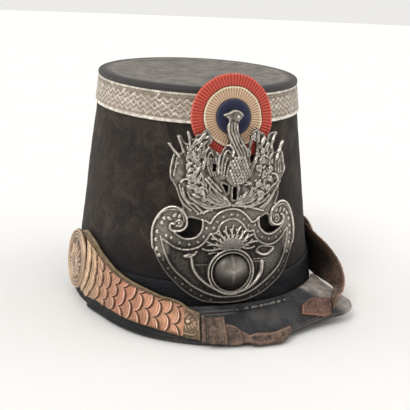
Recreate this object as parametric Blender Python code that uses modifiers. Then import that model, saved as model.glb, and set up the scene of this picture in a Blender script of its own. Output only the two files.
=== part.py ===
"""A shako: a stiff felt cone with a leather top, a woven lace band, a leather base band and peak,
a pierced metal front plate, a pleated cockade and two tapering chin strap halves of metal scales.

Metres, +Z up. The front faces -Y and the wearer's right is -X. The base rim rests on z = 0, and the
origin is the bottom centre of the whole hat's box.
"""

import math

import bmesh
import bpy
from mathutils import Matrix, Vector

# Crown: an oval cone whose top slopes down to the front.
CROWN_HEIGHT = 0.1572
BASE_HALF_WIDTH = 0.0900
BASE_HALF_DEPTH = 0.0954
TOP_HALF_WIDTH = 0.0697
TOP_HALF_DEPTH = 0.0718
TOP_SHIFT = 0.0025
TOP_SLOPE = 0.055
FELT_WALL = 0.0030
GAP = 0.0003
ROUND_STEPS = 56

# Leather top: a rolled rim round a slightly sunken disc. At the back it rises less, by the share given.
TOP_RIM_RISE = 0.0036
TOP_BACK_RISE = 0.60
TOP_SINK = 0.0018
TOP_RIM_WIDTH = 0.0130
TOP_LEATHER = 0.0020

# Bands round the crown.
LACE_HEIGHT = 0.0190
LACE_THICKNESS = 0.0012
BAND_HEIGHT = 0.0340
BAND_THICKNESS = 0.0015

# Peak: sewn on along a seam that falls to the sides.
PEAK_THICKNESS = 0.0022
PEAK_REACH = 0.0385
PEAK_LIFT = 0.0120
PEAK_BULGE = 0.0012
SEAM_HEIGHT = 0.0185
SEAM_ROUND = 0.80

# Front plate: a rigid piece of a cylinder in front of the crown.
PLATE_HALF_WIDTH = 0.0520
PLATE_FOOT = 0.0213
PLATE_THICKNESS = 0.0010
PLATE_RADIUS = 0.0840
PLATE_CLEARANCE = 0.0015
PLATE_CREST = 2.40
PLATE_CREST_GAP = 0.000858
PLATE_STEP = 0.0150
BEAD_RADIUS = 0.0008

# Its relief: places are shares of PLATE_HALF_WIDTH across and up, turns are degrees.
GRENADE_PLACE = (0.0, 0.410)
GRENADE_RADIUS = 0.0115
GRENADE_RISE = 0.0055
HORN_SWELL = 1.2
HORN_BELL_PLACE = (0.470, 0.625)
HORN_BELL_SIZE = (0.0082, 0.0032, 0.0030)
HORN_BELL_TURN = 8.0
SCROLL_EYE = (0.672, 1.030)
SCROLL_STEPS = 12
SCROLL_START = 0.0030
SCROLL_GROWTH = 0.00066
SCROLL_FROM = 200.0
SCROLL_TURN = 44.0
LEAF_SIZE = (0.0024, 0.0062, 0.0022)
LEAF_ASIDE = 0.0034
LEAF_SPREAD = 30.0
FLAMES = 7
FLAME_ROOT = (0.0, 0.690)
FLAME_REACH = 0.0085
FLAME_SIZE = (0.0012, 0.0068, 0.0018)
FLAME_FAN = 66.0
FEATHER_RISE = 0.0028

# Cockade: two pleated rings round a domed centre.
COCKADE_RADIUS = 0.0272
COCKADE_CREAM_RADIUS = 0.0192
COCKADE_CENTRE_RADIUS = 0.0113
COCKADE_SIDE = 0.0024
COCKADE_HEIGHT = 0.1410
COCKADE_THICKNESS = 0.0020
COCKADE_BEND = 0.1100
PLEATS = 36
PLEAT_DEPTH = 0.0006

# Chin strap halves: leather backings, metal scales and round bosses.
BOSS_DIAMETER = 0.0430
BOSS_THICKNESS = 0.0018
BOSS_PLACE = 0.0080
LEFT_BOSS_BACK = 7.0
STRAP_THICKNESS = 0.0015
STRAP_CROWN = 0.0010
STRAP_PROBE = 0.0020
SCALE_THICKNESS = 0.0006
SCALE_RISE = 0.0013
SCALE_ROWS = 13
SCALE_LOBE = 0.0115
SCALE_OVERLAP = 0.28
SCALE_MARGIN = 0.04
TIP_PLATE_LENGTH = 0.0125
TIP_MARGIN = 0.06
TIP_TAPER = 0.16
STUD_RADIUS = 0.0016
TONGUE_THICKNESS = 0.0016
STRAP_LIFT = 2 * GAP + BAND_THICKNESS + STRAP_THICKNESS

# Profiles from the outer edge in: shares of the radius and of the thickness or radius.
BOSS_PROFILE = ((1.0, 0.0), (1.0, 0.6), (0.92, 1.0), (0.84, 0.6), (0.60, 0.8), (0.25, 1.3))
STUD_PROFILE = ((1.0, 0.0), (1.0, 0.35), (0.75, 0.75), (0.3, 0.95))
CENTRE_PROFILE = ((0.4, 0.0), (1.0, 0.0), (1.0, 0.75), (0.8, 0.98), (0.4, 1.12))

# Colours: base colour, roughness, metallic.
FELT = ("felt", (0.030, 0.022, 0.018), 0.95, 0.0)
TOP_HIDE = ("top leather", (0.055, 0.048, 0.044), 0.60, 0.0)
BLACK_HIDE = ("black leather", (0.016, 0.017, 0.024), 0.45, 0.0)
PEAK_HIDE = ("peak leather", (0.040, 0.043, 0.050), 0.50, 0.0)
BROWN_HIDE = ("brown leather", (0.110, 0.062, 0.040), 0.70, 0.0)
LACE = ("silver lace", (0.560, 0.540, 0.480), 0.45, 0.6)
PEWTER = ("aged pewter", (0.300, 0.290, 0.270), 0.38, 0.9)
COPPER = ("copper scales", (0.640, 0.330, 0.240), 0.40, 0.9)
BRASS = ("aged brass", (0.560, 0.430, 0.270), 0.40, 0.9)
RED = ("red pleats", (0.640, 0.090, 0.065), 0.80, 0.0)
CREAM = ("cream pleats", (0.620, 0.500, 0.330), 0.80, 0.0)
NAVY = ("navy centre", (0.030, 0.035, 0.090), 0.80, 0.0)

# Peak outline, one row a station: seam angle, edge angle, reach and edge height.
# Angles are degrees from the front towards the wearer's left, reach is a share of PEAK_REACH and
# height a share of PEAK_LIFT. The wearer's right side is pressed down, the left corner stands out.
PEAK_ROWS = (
    (-66.0, -66.0, 0.065, 0.05),
    (-57.0, -57.5, 0.085, 0.05),
    (-47.0, -47.5, 0.190, 0.05),
    (-34.0, -34.5, 0.310, 0.05),
    (-22.0, -22.5, 0.370, 0.05),
    (-9.0, -8.5, 0.455, 0.05),
    (5.0, 5.5, 0.530, 0.12),
    (18.0, 19.5, 0.600, 0.28),
    (27.0, 28.0, 0.660, 0.42),
    (34.0, 35.0, 0.790, 0.52),
    (39.0, 39.5, 0.940, 0.60),
    (44.0, 43.8, 0.995, 0.66),
    (48.0, 47.0, 0.910, 0.72),
    (52.0, 49.8, 0.720, 0.72),
    (58.0, 55.5, 0.430, 0.70),
    (66.0, 64.5, 0.095, 0.66),
)

# Plate outline, right half as seen from the front, foot to crest: shares of PLATE_HALF_WIDTH across and up.
SHIELD_SIDE = (
    (0.000, 0.000), (0.170, 0.012), (0.335, 0.045), (0.480, 0.100), (0.625, 0.190), (0.735, 0.280),
    (0.815, 0.360), (0.880, 0.460), (0.935, 0.575), (0.977, 0.700), (0.997, 0.815), (1.000, 0.935),
    (0.970, 1.070), (0.905, 1.170), (0.815, 1.235), (0.740, 1.245), (0.665, 1.220), (0.600, 1.170),
    (0.550, 1.135), (0.585, 1.220),
)
TROPHY_SIDE = (
    (0.620, 1.310), (0.675, 1.440), (0.717, 1.520), (0.755, 1.600), (0.765, 1.700), (0.735, 1.780),
    (0.720, 1.850), (0.762, 1.925), (0.782, 1.995), (0.735, 1.985), (0.680, 1.890), (0.648, 1.870),
    (0.655, 1.980), (0.700, 2.060), (0.662, 2.100), (0.608, 2.065), (0.575, 1.980), (0.550, 1.950),
    (0.528, 2.040), (0.556, 2.115), (0.530, 2.150), (0.470, 2.095), (0.420, 2.060),
)
# The middle of the crest, from the wearer's right to left: leaf tips, wings, the cockerel's neck and head.
CREST = (
    (-0.310, 2.110), (-0.235, 2.135), (-0.190, 2.110), (-0.245, 2.010), (-0.325, 1.930), (-0.290, 1.900),
    (-0.200, 1.880), (-0.150, 1.830), (-0.120, 1.900), (-0.060, 1.960), (-0.030, 1.990), (-0.075, 2.080),
    (-0.075, 2.190), (-0.035, 2.270), (-0.105, 2.330), (-0.090, 2.390), (0.000, 2.400), (0.090, 2.365),
    (0.150, 2.310), (0.100, 2.240), (0.070, 2.170), (0.085, 2.100), (0.130, 2.020), (0.185, 1.930),
    (0.215, 2.000), (0.255, 2.130), (0.300, 2.060),
)
# Openings cut through the plate, same shares.
SCROLL_OPENING = (
    (0.535, 1.085), (0.360, 1.045), (0.380, 0.960), (0.440, 0.880), (0.535, 0.835), (0.655, 0.860),
    (0.590, 0.915), (0.545, 1.000),
)
CREST_OPENINGS = (
    ((-0.235, 1.770), (-0.200, 1.770), (-0.200, 1.660), (-0.235, 1.660)),
    ((-0.120, 1.525), (-0.035, 1.455), (-0.060, 1.365)),
    ((0.005, 1.470), (0.072, 1.470), (0.055, 1.320), (0.010, 1.320)),
    ((0.270, 2.030), (0.315, 1.960), (0.285, 1.830), (0.235, 1.735), (0.235, 1.880)),
)
# Raised lines of the plate's right half, and of its whole width.
RIM_LINE = (
    (0.000, 0.085), (0.245, 0.110), (0.465, 0.210), (0.680, 0.420), (0.800, 0.640), (0.850, 0.835),
    (0.770, 0.750), (0.665, 0.700), (0.540, 0.685), (0.390, 0.740), (0.300, 0.830), (0.265, 0.890),
    (0.205, 0.890), (0.135, 1.000), (0.000, 1.055),
)
HORN_LINE = (
    (-0.500, 0.610), (-0.465, 0.430), (-0.350, 0.265), (-0.195, 0.170), (0.000, 0.125), (0.210, 0.185),
    (0.345, 0.300), (0.415, 0.485), (0.470, 0.610),
)
WREATH_LINE = (
    (0.060, 1.240), (0.230, 1.300), (0.400, 1.420), (0.520, 1.580), (0.540, 1.760), (0.460, 1.930),
)
# Feathers of the cockerel: place, half width and half height as shares, and turn.
FEATHERS = (
    (-0.050, 1.720, 0.085, 0.260, 8.0),
    (-0.250, 1.720, 0.075, 0.210, -8.0),
    (0.090, 1.760, 0.110, 0.250, -14.0),
    (0.020, 2.080, 0.070, 0.200, 8.0),
    (0.010, 2.320, 0.075, 0.055, 0.0),
)

# Start of both strap halves on the crown, one row a section: angle of the right one from the front, and the
# heights of its upper and lower edge as shares of BOSS_DIAMETER.
STRAP_ON_BAND = (
    (-86.0, 1.090, 0.100),
    (-74.0, 1.200, 0.215),
)
# The right half goes on over the peak, one row a section: angle, upper and lower edge. An edge above the
# peak's seam is so many shares of BOSS_DIAMETER up, and one below it is minus a share of the peak's reach.
RIGHT_STRAP = (
    (-65.5, 0.793, -0.200),
    (-57.5, 0.592, -0.260),
    (-50.5, 0.435, -0.440),
    (-42.5, 0.306, -0.620),
    (-35.5, 0.222, -0.700),
    (-28.5, 0.130, -0.760),
    (-21.0, 0.055, -0.850),
    (-13.2, -0.220, -0.940),
)
# Its leather end on the peak: angle, upper and lower edge as shares of the way from the seam to the edge.
RIGHT_END = (
    (-12.7, 0.270, 0.980),
    (-8.0, 0.440, 1.000),
    (-4.5, 0.520, 1.030),
    (-1.5, 0.580, 1.050),
    (0.5, 0.700, 1.040),
    (3.0, 0.850, 1.020),
    (5.5, 0.840, 1.120),
    (10.5, 0.900, 1.150),
    (14.0, 0.890, 1.190),
    (17.0, 0.870, 1.100),
)
# The loop round it: angles of its two sides, and its shares of the way down.
KEEPER_SIDES = (-10.6, -4.5)
KEEPER_PLACES = (0.360, 1.030)

# The left half goes on clear of the crown: upper and lower edge, each as shares of BASE_HALF_WIDTH to
# the side, BASE_HALF_DEPTH to the front and BOSS_DIAMETER up.
LEFT_STRAP = (
    ((0.989, 0.105, 1.023), (1.024, 0.126, 0.170)),
    ((1.007, 0.231, 0.949), (1.016, 0.231, 0.178)),
    ((1.038, 0.409, 0.860), (1.003, 0.356, 0.200)),
    ((1.063, 0.524, 0.756), (0.994, 0.482, 0.235)),
    ((1.061, 0.650, 0.647), (0.983, 0.597, 0.280)),
    ((1.034, 0.765, 0.519), (0.967, 0.702, 0.315)),
    ((0.967, 0.881, 0.430), (0.928, 0.791, 0.370)),
    ((0.861, 0.985, 0.375), (0.900, 0.838, 0.400)),
)
# It ends on the peak: angle and share of the way down, at its upper and lower edge.
LEFT_STRAP_END = ((35.0, 0.980), (42.0, 0.600))
# Its leather tab is folded back on the peak: angle and share at the upper, then at the lower edge.
LEFT_TAB = (
    ((28.0, 0.520), (25.0, 0.720)),
    ((33.5, 0.440), (29.0, 0.870)),
    ((37.5, 0.490), (31.5, 0.970)),
    ((41.0, 0.580), (34.0, 0.990)),
)


def clear_scene():
    for thing in list(bpy.data.objects):
        bpy.data.objects.remove(thing, do_unlink=True)


def collection(name, hidden=False):
    made = bpy.data.collections.new(name)
    bpy.context.scene.collection.children.link(made)
    made.hide_render = hidden
    return made


def finish_of(look):
    """The Principled material of a look, made once."""
    name, colour, roughness, metallic = look
    found = bpy.data.materials.get(name)
    if found:
        return found
    made = bpy.data.materials.new(name)
    made.use_nodes = True
    shader = made.node_tree.nodes["Principled BSDF"]
    shader.inputs["Base Color"].default_value = (*colour, 1.0)
    shader.inputs["Roughness"].default_value = roughness
    shader.inputs["Metallic"].default_value = metallic
    made.diffuse_color = (*colour, 1.0)
    return made


def add_piece(name, mesh_or_bm, look, home, sharp=40.0):
    """One named object from a mesh, smooth but for its sharp edges."""
    mesh = mesh_or_bm
    if isinstance(mesh_or_bm, bmesh.types.BMesh):
        mesh = bpy.data.meshes.new(name)
        bmesh.ops.recalc_face_normals(mesh_or_bm, faces=mesh_or_bm.faces)
        mesh_or_bm.to_mesh(mesh)
        mesh_or_bm.free()
    mesh.shade_smooth()
    mesh.set_sharp_from_angle(angle=math.radians(sharp))
    mesh.materials.clear()
    mesh.materials.append(finish_of(look))
    piece = bpy.data.objects.new(name, mesh)
    home.objects.link(piece)
    return piece


def mix(first, second, share):
    return first + (second - first) * share


def smooth_path(points, steps):
    """Points on a Catmull-Rom curve through the given ones, with so many steps between neighbours."""
    points = [Vector(p) for p in points]
    ends = [2 * points[0] - points[1]] + points + [2 * points[-1] - points[-2]]
    path = []
    for a, b, c, d in zip(ends, ends[1:], ends[2:], ends[3:]):
        for step in range(steps):
            t = step / steps
            path.append(
                0.5 * (2 * b + (c - a) * t + (2 * a - 5 * b + 4 * c - d) * t * t
                       + (3 * b - 3 * c + d - a) * t * t * t)
            )
    path.append(points[-1])
    return path


def loft(rings, closed):
    """A closed solid through rings of equal count: closed on itself, or with its two ends capped."""
    bm = bmesh.new()
    rows = [[bm.verts.new(point) for point in ring] for ring in rings]
    pairs = list(zip(rows, rows[1:]))
    if closed:
        pairs.append((rows[-1], rows[0]))
    for low, high in pairs:
        for i in range(len(low)):
            j = (i + 1) % len(low)
            bm.faces.new((low[i], low[j], high[j], high[i]))
    if not closed:
        bm.faces.new(rows[0])
        bm.faces.new(reversed(rows[-1]))
    return bm


def sheet(rows):
    """An open surface through rows of points, for Solidify."""
    bm = bmesh.new()
    grid = [[bm.verts.new(point) for point in row] for row in rows]
    for low, high in zip(grid, grid[1:]):
        for i in range(len(low) - 1):
            bm.faces.new((low[i], low[i + 1], high[i + 1], high[i]))
    return bm


def add_sheet(name, rows, thickness, look, home, side=1.0):
    """A leather or metal sheet that grows by its thickness to one side of a surface."""
    mesh = bpy.data.meshes.new(name)
    bm = sheet(rows)
    bm.to_mesh(mesh)
    bm.free()
    piece = add_piece(name, mesh, look, home)
    solid = piece.modifiers.new("Thickness", "SOLIDIFY")
    solid.thickness = thickness
    solid.offset = side
    solid.use_even_offset = True
    return piece


def wall_point(angle, height, lift=0.0):
    """Point off the crown's outer face, at degrees from the front towards the wearer's left."""
    turn = math.radians(angle)
    share = height / CROWN_HEIGHT
    half_width = mix(BASE_HALF_WIDTH, TOP_HALF_WIDTH, share) + lift
    half_depth = mix(BASE_HALF_DEPTH, TOP_HALF_DEPTH, share) + lift
    return Vector((half_width * math.sin(turn), share * TOP_SHIFT - half_depth * math.cos(turn), height))


def top_height(angle):
    """Height of the crown's top edge, lower in front."""
    return CROWN_HEIGHT - TOP_SLOPE * TOP_HALF_DEPTH * math.cos(math.radians(angle))


def round_angles(steps=ROUND_STEPS):
    return [360.0 * i / steps for i in range(steps)]


def wall_ring(height_of, lift):
    return [wall_point(angle, height_of(angle), lift) for angle in round_angles()]


def add_wall_band(name, low, high, inner, outer, look, home):
    """A ring round the crown between two heights, given as functions of the angle, and two lifts."""
    rings = [wall_ring(low, outer), wall_ring(high, outer), wall_ring(high, inner), wall_ring(low, inner)]
    return add_piece(name, loft(rings, closed=True), look, home)


def top_ring(inset, rise):
    """Ring in the plane of the top, so far in from the crown's edge and so far above it in front."""
    centre = Vector((0.0, TOP_SHIFT, CROWN_HEIGHT))
    ring = []
    for angle in round_angles():
        edge = wall_point(angle, top_height(angle))
        inward = centre - edge
        share = mix(1.0, TOP_BACK_RISE, 0.5 - 0.5 * math.cos(math.radians(angle)))
        lift = Vector((0.0, 0.0, GAP + (rise - GAP) * share))
        ring.append(edge + inward * (inset / inward.length) + lift)
    return ring


def add_top(home):
    """Leather disc whose rim rolls over the wall's top edge."""
    proud = LACE_THICKNESS + GAP
    low = TOP_RIM_RISE - TOP_SINK
    rings = [
        top_ring(TOP_RIM_WIDTH, low - TOP_LEATHER),
        top_ring(FELT_WALL + GAP, GAP),
        top_ring(-proud, GAP),
        top_ring(-proud, 0.45 * TOP_RIM_RISE),
        top_ring(-0.2 * proud, 0.85 * TOP_RIM_RISE),
        top_ring(0.20 * TOP_RIM_WIDTH, TOP_RIM_RISE),
        top_ring(0.65 * TOP_RIM_WIDTH, 0.90 * TOP_RIM_RISE),
        top_ring(TOP_RIM_WIDTH, low),
    ]
    return add_piece("crown_top", loft(rings, closed=False), TOP_HIDE, home)


def add_crown(home):
    add_wall_band("crown_felt", lambda angle: 0.0, top_height, -FELT_WALL, 0.0, FELT, home)
    add_top(home)
    add_wall_band(
        "lace_band",
        lambda angle: top_height(angle) - LACE_HEIGHT,
        top_height,
        GAP,
        GAP + LACE_THICKNESS,
        LACE,
        home,
    )
    add_wall_band(
        "base_band", lambda angle: GAP, lambda angle: BAND_HEIGHT, GAP, GAP + BAND_THICKNESS, BLACK_HIDE, home
    )


def seam_point(angle):
    """Where the peak's underside meets the base band."""
    height = SEAM_HEIGHT * math.cos(math.radians(SEAM_ROUND * angle))
    return wall_point(angle, height, 2 * GAP + BAND_THICKNESS)


def peak_station(angle):
    """Seam point and edge point of the peak's underside at a seam angle."""
    for low, high in zip(PEAK_ROWS, PEAK_ROWS[1:]):
        if angle <= high[0]:
            break
    share = (angle - low[0]) / (high[0] - low[0])
    edge_angle, reach, height = (mix(low[i], high[i], share) for i in (1, 2, 3))
    return seam_point(angle), wall_point(edge_angle, height * PEAK_LIFT, reach * PEAK_REACH)


def peak_point(angle, share, lift=0.0):
    """Point off the peak's underside, so far of the way from the seam to the edge."""
    seam, edge = peak_station(angle)
    down = edge - seam
    along = wall_point(angle + 1.0, 0.0) - wall_point(angle - 1.0, 0.0)
    out = along.cross(down).normalized()
    if out.z < 0.0:
        out.negate()
    return seam + down * share + out * (lift + PEAK_BULGE * math.sin(math.pi * min(share, 1.0)))


def add_peak(home):
    steps = 4
    rows = []
    angles = [row[0] for row in PEAK_ROWS]
    for low, high in zip(angles, angles[1:]):
        rows.append([peak_point(low, i / steps) for i in range(steps + 1)])
        rows.append([peak_point(0.5 * (low + high), i / steps) for i in range(steps + 1)])
    rows.append([peak_point(angles[-1], i / steps) for i in range(steps + 1)])
    return add_sheet("visor", rows, PEAK_THICKNESS, PEAK_HIDE, home)


def front_frame(lean, clearance):
    """Foot, upward and outward directions of a surface that leans back in front of the crown."""
    turn = math.radians(lean)
    foot = Vector((0.0, -BASE_HALF_DEPTH - clearance, 0.0))
    return foot, Vector((0.0, math.sin(turn), math.cos(turn))), Vector((0.0, -math.cos(turn), math.sin(turn)))


def wall_lean():
    """Lean of the crown's front, in degrees."""
    run = BASE_HALF_DEPTH - TOP_HALF_DEPTH + TOP_SHIFT
    return math.degrees(math.atan2(run, CROWN_HEIGHT))


def wall_depth(side, height):
    """How far in front of the middle the crown's or the base band's face is, so far to the side."""
    share = height / CROWN_HEIGHT
    lift = GAP + BAND_THICKNESS if height < BAND_HEIGHT else 0.0
    half_width = mix(BASE_HALF_WIDTH, TOP_HALF_WIDTH, share) + lift
    half_depth = mix(BASE_HALF_DEPTH, TOP_HALF_DEPTH, share) + lift
    return half_depth * math.sqrt(max(0.0, 1.0 - (side / half_width) ** 2)) - share * TOP_SHIFT


def plate_frame():
    """Frame of the plate: its crest clears the cockade, and its back clears the crown all round its outline."""
    crest = PLATE_FOOT + PLATE_CREST * PLATE_HALF_WIDTH
    stand_off = 2 * GAP + LACE_THICKNESS + COCKADE_THICKNESS + PLATE_CREST_GAP
    lean = wall_lean() - math.degrees(math.asin(stand_off / crest))
    close = front_frame(lean, 0.0)
    gaps = []
    for share in plate_outline():
        back = bent_point(*plate_place(share), 0.0, PLATE_RADIUS, close)
        gaps.append(-back.y - wall_depth(back.x, back.z))
    return front_frame(lean, PLATE_CLEARANCE - min(gaps))


def bent_point(across, up, lift, radius, frame):
    """Point of a flat design wrapped on a cylinder of a radius."""
    foot, upward, outward = frame
    turn = across / radius
    side = (radius + lift) * math.sin(turn)
    depth = (radius + lift) * math.cos(turn) - radius
    return foot + upward * up + outward * depth + Vector((side, 0.0, 0.0))


def plate_place(share):
    """Place in the flat plate, in metres, of a pair of shares."""
    return share[0] * PLATE_HALF_WIDTH, PLATE_FOOT + share[1] * PLATE_HALF_WIDTH


def mirrored(pairs):
    return [(-across, up) for across, up in reversed(pairs)]


def plate_outline():
    right = list(SHIELD_SIDE) + list(TROPHY_SIDE)
    return right + list(reversed(CREST)) + mirrored(right)[:-1]


def flat_mesh(outline, openings):
    """The flat plate with its openings, as a mesh that starts at z = 0."""
    curve = bpy.data.curves.new("plate flat", "CURVE")
    curve.dimensions = "2D"
    curve.fill_mode = "BOTH"
    curve.extrude = PLATE_THICKNESS / 2
    for loop in [outline] + openings:
        spline = curve.splines.new("POLY")
        spline.points.add(len(loop) - 1)
        spline.use_cyclic_u = True
        for point, share in zip(spline.points, loop):
            across, up = plate_place(share)
            point.co = (across, up, 0.0, 1.0)
    return curve_mesh(curve, Vector((0.0, 0.0, PLATE_THICKNESS / 2)))


def curve_mesh(curve, shift):
    """Mesh of a curve, moved, with its loose caps welded."""
    holder = bpy.data.objects.new("curve to mesh", curve)
    bpy.context.scene.collection.objects.link(holder)
    graph = bpy.context.evaluated_depsgraph_get()
    mesh = bpy.data.meshes.new_from_object(holder.evaluated_get(graph))
    bpy.data.objects.remove(holder, do_unlink=True)
    bm = bmesh.new()
    bm.from_mesh(mesh)
    bmesh.ops.translate(bm, verts=bm.verts, vec=shift)
    bmesh.ops.remove_doubles(bm, verts=bm.verts, dist=1e-6)
    bm.to_mesh(mesh)
    bm.free()
    return mesh


def bead_mesh(points, radius, cyclic=False, taper=None):
    """A raised line through places in the plate, half sunk into its face."""
    curve = bpy.data.curves.new("plate bead", "CURVE")
    curve.dimensions = "3D"
    curve.bevel_depth = radius
    curve.bevel_resolution = 0
    curve.use_fill_caps = not cyclic
    spline = curve.splines.new("POLY")
    spline.points.add(len(points) - 1)
    spline.use_cyclic_u = cyclic
    for i, (point, place) in enumerate(zip(spline.points, points)):
        point.co = (place[0], place[1], 0.0, 1.0)
        point.radius = taper(i / (len(points) - 1)) if taper else 1.0
    return curve_mesh(curve, Vector((0.0, 0.0, PLATE_THICKNESS)))


def dome_mesh(place, size, turn=0.0, sides=10, rings=4):
    """A raised oval of a half width, half height and rise, with its flat foot inside the plate."""
    half_width, half_height, rise = size
    mesh = bpy.data.meshes.new("plate dome")
    bm = bmesh.new()
    bmesh.ops.create_uvsphere(bm, u_segments=sides, v_segments=rings, radius=1.0)
    cos, sin = math.cos(math.radians(turn)), math.sin(math.radians(turn))
    for vert in bm.verts:
        x, y = vert.co.x * half_width, vert.co.y * half_height
        z = max(vert.co.z, 0.0) * (rise + PLATE_THICKNESS / 2)
        vert.co = (place[0] + x * cos - y * sin, place[1] + x * sin + y * cos, PLATE_THICKNESS / 2 + z)
    bm.to_mesh(mesh)
    bm.free()
    return mesh


def ring_places(centre, radius, steps):
    turns = [2 * math.pi * i / steps for i in range(steps)]
    return [(centre[0] + radius * math.cos(turn), centre[1] + radius * math.sin(turn)) for turn in turns]


def line_places(pairs, steps=2):
    return [tuple(plate_place(p)) for p in smooth_path([(a, b, 0.0) for a, b in pairs], steps)]


def grenade_relief():
    """The round ball inside its ring, and the flames that fan out above it."""
    ball = plate_place(GRENADE_PLACE)
    parts = [
        dome_mesh(ball, (GRENADE_RADIUS, GRENADE_RADIUS, GRENADE_RISE), sides=14, rings=6),
        bead_mesh(ring_places(ball, GRENADE_RADIUS + 2.2 * BEAD_RADIUS, 18), BEAD_RADIUS, cyclic=True),
    ]
    root = plate_place(FLAME_ROOT)
    for i in range(FLAMES):
        turn = mix(-FLAME_FAN, FLAME_FAN, i / (FLAMES - 1))
        aside, above = math.sin(math.radians(turn)), math.cos(math.radians(turn))
        place = (root[0] + FLAME_REACH * aside, root[1] + FLAME_REACH * above)
        parts.append(dome_mesh(place, FLAME_SIZE, -turn, sides=5))
    return parts


def horn_relief():
    """The hunting horn that curves under the ball, wider towards its bell."""
    tube = bead_mesh(line_places(HORN_LINE, 1), BEAD_RADIUS, taper=lambda t: 1.0 + HORN_SWELL * t * t)
    return [tube, dome_mesh(plate_place(HORN_BELL_PLACE), HORN_BELL_SIZE, HORN_BELL_TURN)]


def scroll_relief(side):
    """The line that winds out of one of the shield's two scrolls."""
    eye = plate_place((side * SCROLL_EYE[0], SCROLL_EYE[1]))
    spiral = []
    for i in range(SCROLL_STEPS):
        turn = math.radians(SCROLL_FROM - SCROLL_TURN * i)
        radius = SCROLL_START + SCROLL_GROWTH * i
        spiral.append((eye[0] - side * radius * math.cos(turn), eye[1] + radius * math.sin(turn)))
    return bead_mesh(spiral, BEAD_RADIUS)


def wreath_relief(side):
    """Pairs of leaves up one branch of the wreath."""
    parts = []
    stem = line_places(WREATH_LINE, 2)
    for i in range(1, len(stem) - 1, 2):
        x, y = stem[i]
        heading = math.degrees(math.atan2(stem[i + 1][1] - y, side * (stem[i + 1][0] - x))) - 90.0
        for spread in (-1.0, 1.0):
            place = (side * x + spread * LEAF_ASIDE * math.cos(math.radians(heading)), y)
            parts.append(dome_mesh(place, LEAF_SIZE, heading - spread * LEAF_SPREAD, sides=6))
    return parts


def plate_relief():
    """Meshes of what stands proud of the plate's face."""
    rim = line_places(RIM_LINE, 1)
    parts = [bead_mesh(rim + [(-x, y) for x, y in reversed(rim[1:-1])], BEAD_RADIUS, cyclic=True)]
    parts += grenade_relief() + horn_relief()
    for side in (-1.0, 1.0):
        parts.append(scroll_relief(side))
        parts += wreath_relief(side)
    for across, up, half_width, half_height, turn in FEATHERS:
        size = (half_width * PLATE_HALF_WIDTH, half_height * PLATE_HALF_WIDTH, FEATHER_RISE)
        parts.append(dome_mesh(plate_place((across, up)), size, turn))
    return parts


def bend(mesh):
    """Wraps the flat plate on its cylinder, its wide faces sliced first into strips."""
    bm = bmesh.new()
    bm.from_mesh(mesh)
    strips = int(PLATE_HALF_WIDTH / PLATE_STEP)
    for i in range(-strips, strips + 1):
        bmesh.ops.bisect_plane(
            bm, geom=bm.verts[:] + bm.edges[:] + bm.faces[:], plane_co=((i + 0.37) * PLATE_STEP, 0.0, 0.0),
            plane_no=(1.0, 0.0, 0.0), dist=1e-7,
        )
    bmesh.ops.triangulate(bm, faces=bm.faces)
    frame = plate_frame()
    for vert in bm.verts:
        vert.co = bent_point(vert.co.x, vert.co.y, vert.co.z, PLATE_RADIUS, frame)
    return bm


def add_plate(home, helpers):
    """The plate is cut and joined with its relief while it is flat, then bent."""
    openings = [list(SCROLL_OPENING), mirrored(SCROLL_OPENING)] + [list(loop) for loop in CREST_OPENINGS]
    base = bpy.data.objects.new("plate base", flat_mesh(plate_outline(), openings))
    helpers.objects.link(base)
    raised = bpy.data.collections.new("plate relief")
    helpers.children.link(raised)
    for mesh in plate_relief():
        raised.objects.link(bpy.data.objects.new(mesh.name, mesh))
    union = base.modifiers.new("Relief", "BOOLEAN")
    union.operation = "UNION"
    union.operand_type = "COLLECTION"
    union.collection = raised
    union.solver = "EXACT"
    graph = bpy.context.evaluated_depsgraph_get()
    mesh = bpy.data.meshes.new_from_object(base.evaluated_get(graph))
    for helper in list(raised.objects) + [base]:
        bpy.data.objects.remove(helper, do_unlink=True)
    bpy.data.collections.remove(raised)
    return add_piece("plate", bend(mesh), PEWTER, home, sharp=30.0)


def cockade_ring(radius, lift, pleated):
    """Ring of the cockade, bent with the crown. Its face rises and falls with each pleat."""
    frame = front_frame(wall_lean(), 2 * GAP + LACE_THICKNESS)
    ring = []
    for i in range(2 * PLEATS):
        turn = math.pi * i / PLEATS
        wave = PLEAT_DEPTH if pleated and i % 2 else 0.0
        across, up = COCKADE_SIDE + radius * math.sin(turn), COCKADE_HEIGHT + radius * math.cos(turn)
        ring.append(bent_point(across, up, lift - wave, COCKADE_BEND, frame))
    return ring


def add_cockade(home):
    rings = (
        ("cockade_red", COCKADE_RADIUS, COCKADE_CREAM_RADIUS + GAP / 2, RED),
        ("cockade_cream", COCKADE_CREAM_RADIUS - GAP / 2, COCKADE_CENTRE_RADIUS + GAP, CREAM),
    )
    for name, outer, inner, look in rings:
        loops = [
            cockade_ring(outer, 0.0, False),
            cockade_ring(outer, COCKADE_THICKNESS, True),
            cockade_ring(inner, COCKADE_THICKNESS, True),
            cockade_ring(inner, 0.0, False),
        ]
        add_piece(name, loft(loops, closed=True), look, home, sharp=20.0)
    domes = [
        cockade_ring(COCKADE_CENTRE_RADIUS * share, COCKADE_THICKNESS * rise, False)
        for share, rise in CENTRE_PROFILE
    ]
    add_piece("cockade_centre", loft([ring[::4] for ring in domes], closed=False), NAVY, home)


def boss_seat(surface):
    """Centre of a boss's flat foot, just clear of the strap all over the disc, and its outward normal."""
    normal = surface.outward(BOSS_PLACE, 0.5)
    centre = surface.point(BOSS_PLACE, 0.5)
    radius = BOSS_DIAMETER / 2
    highest = 0.0
    for i in range(13):
        for j in range(9):
            away = surface.point((BOSS_PLACE + radius) * i / 12, j / 8) - centre
            rise = away.dot(normal)
            if (away - normal * rise).length < radius:
                highest = max(highest, rise)
    return centre + normal * (highest + GAP), normal


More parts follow.
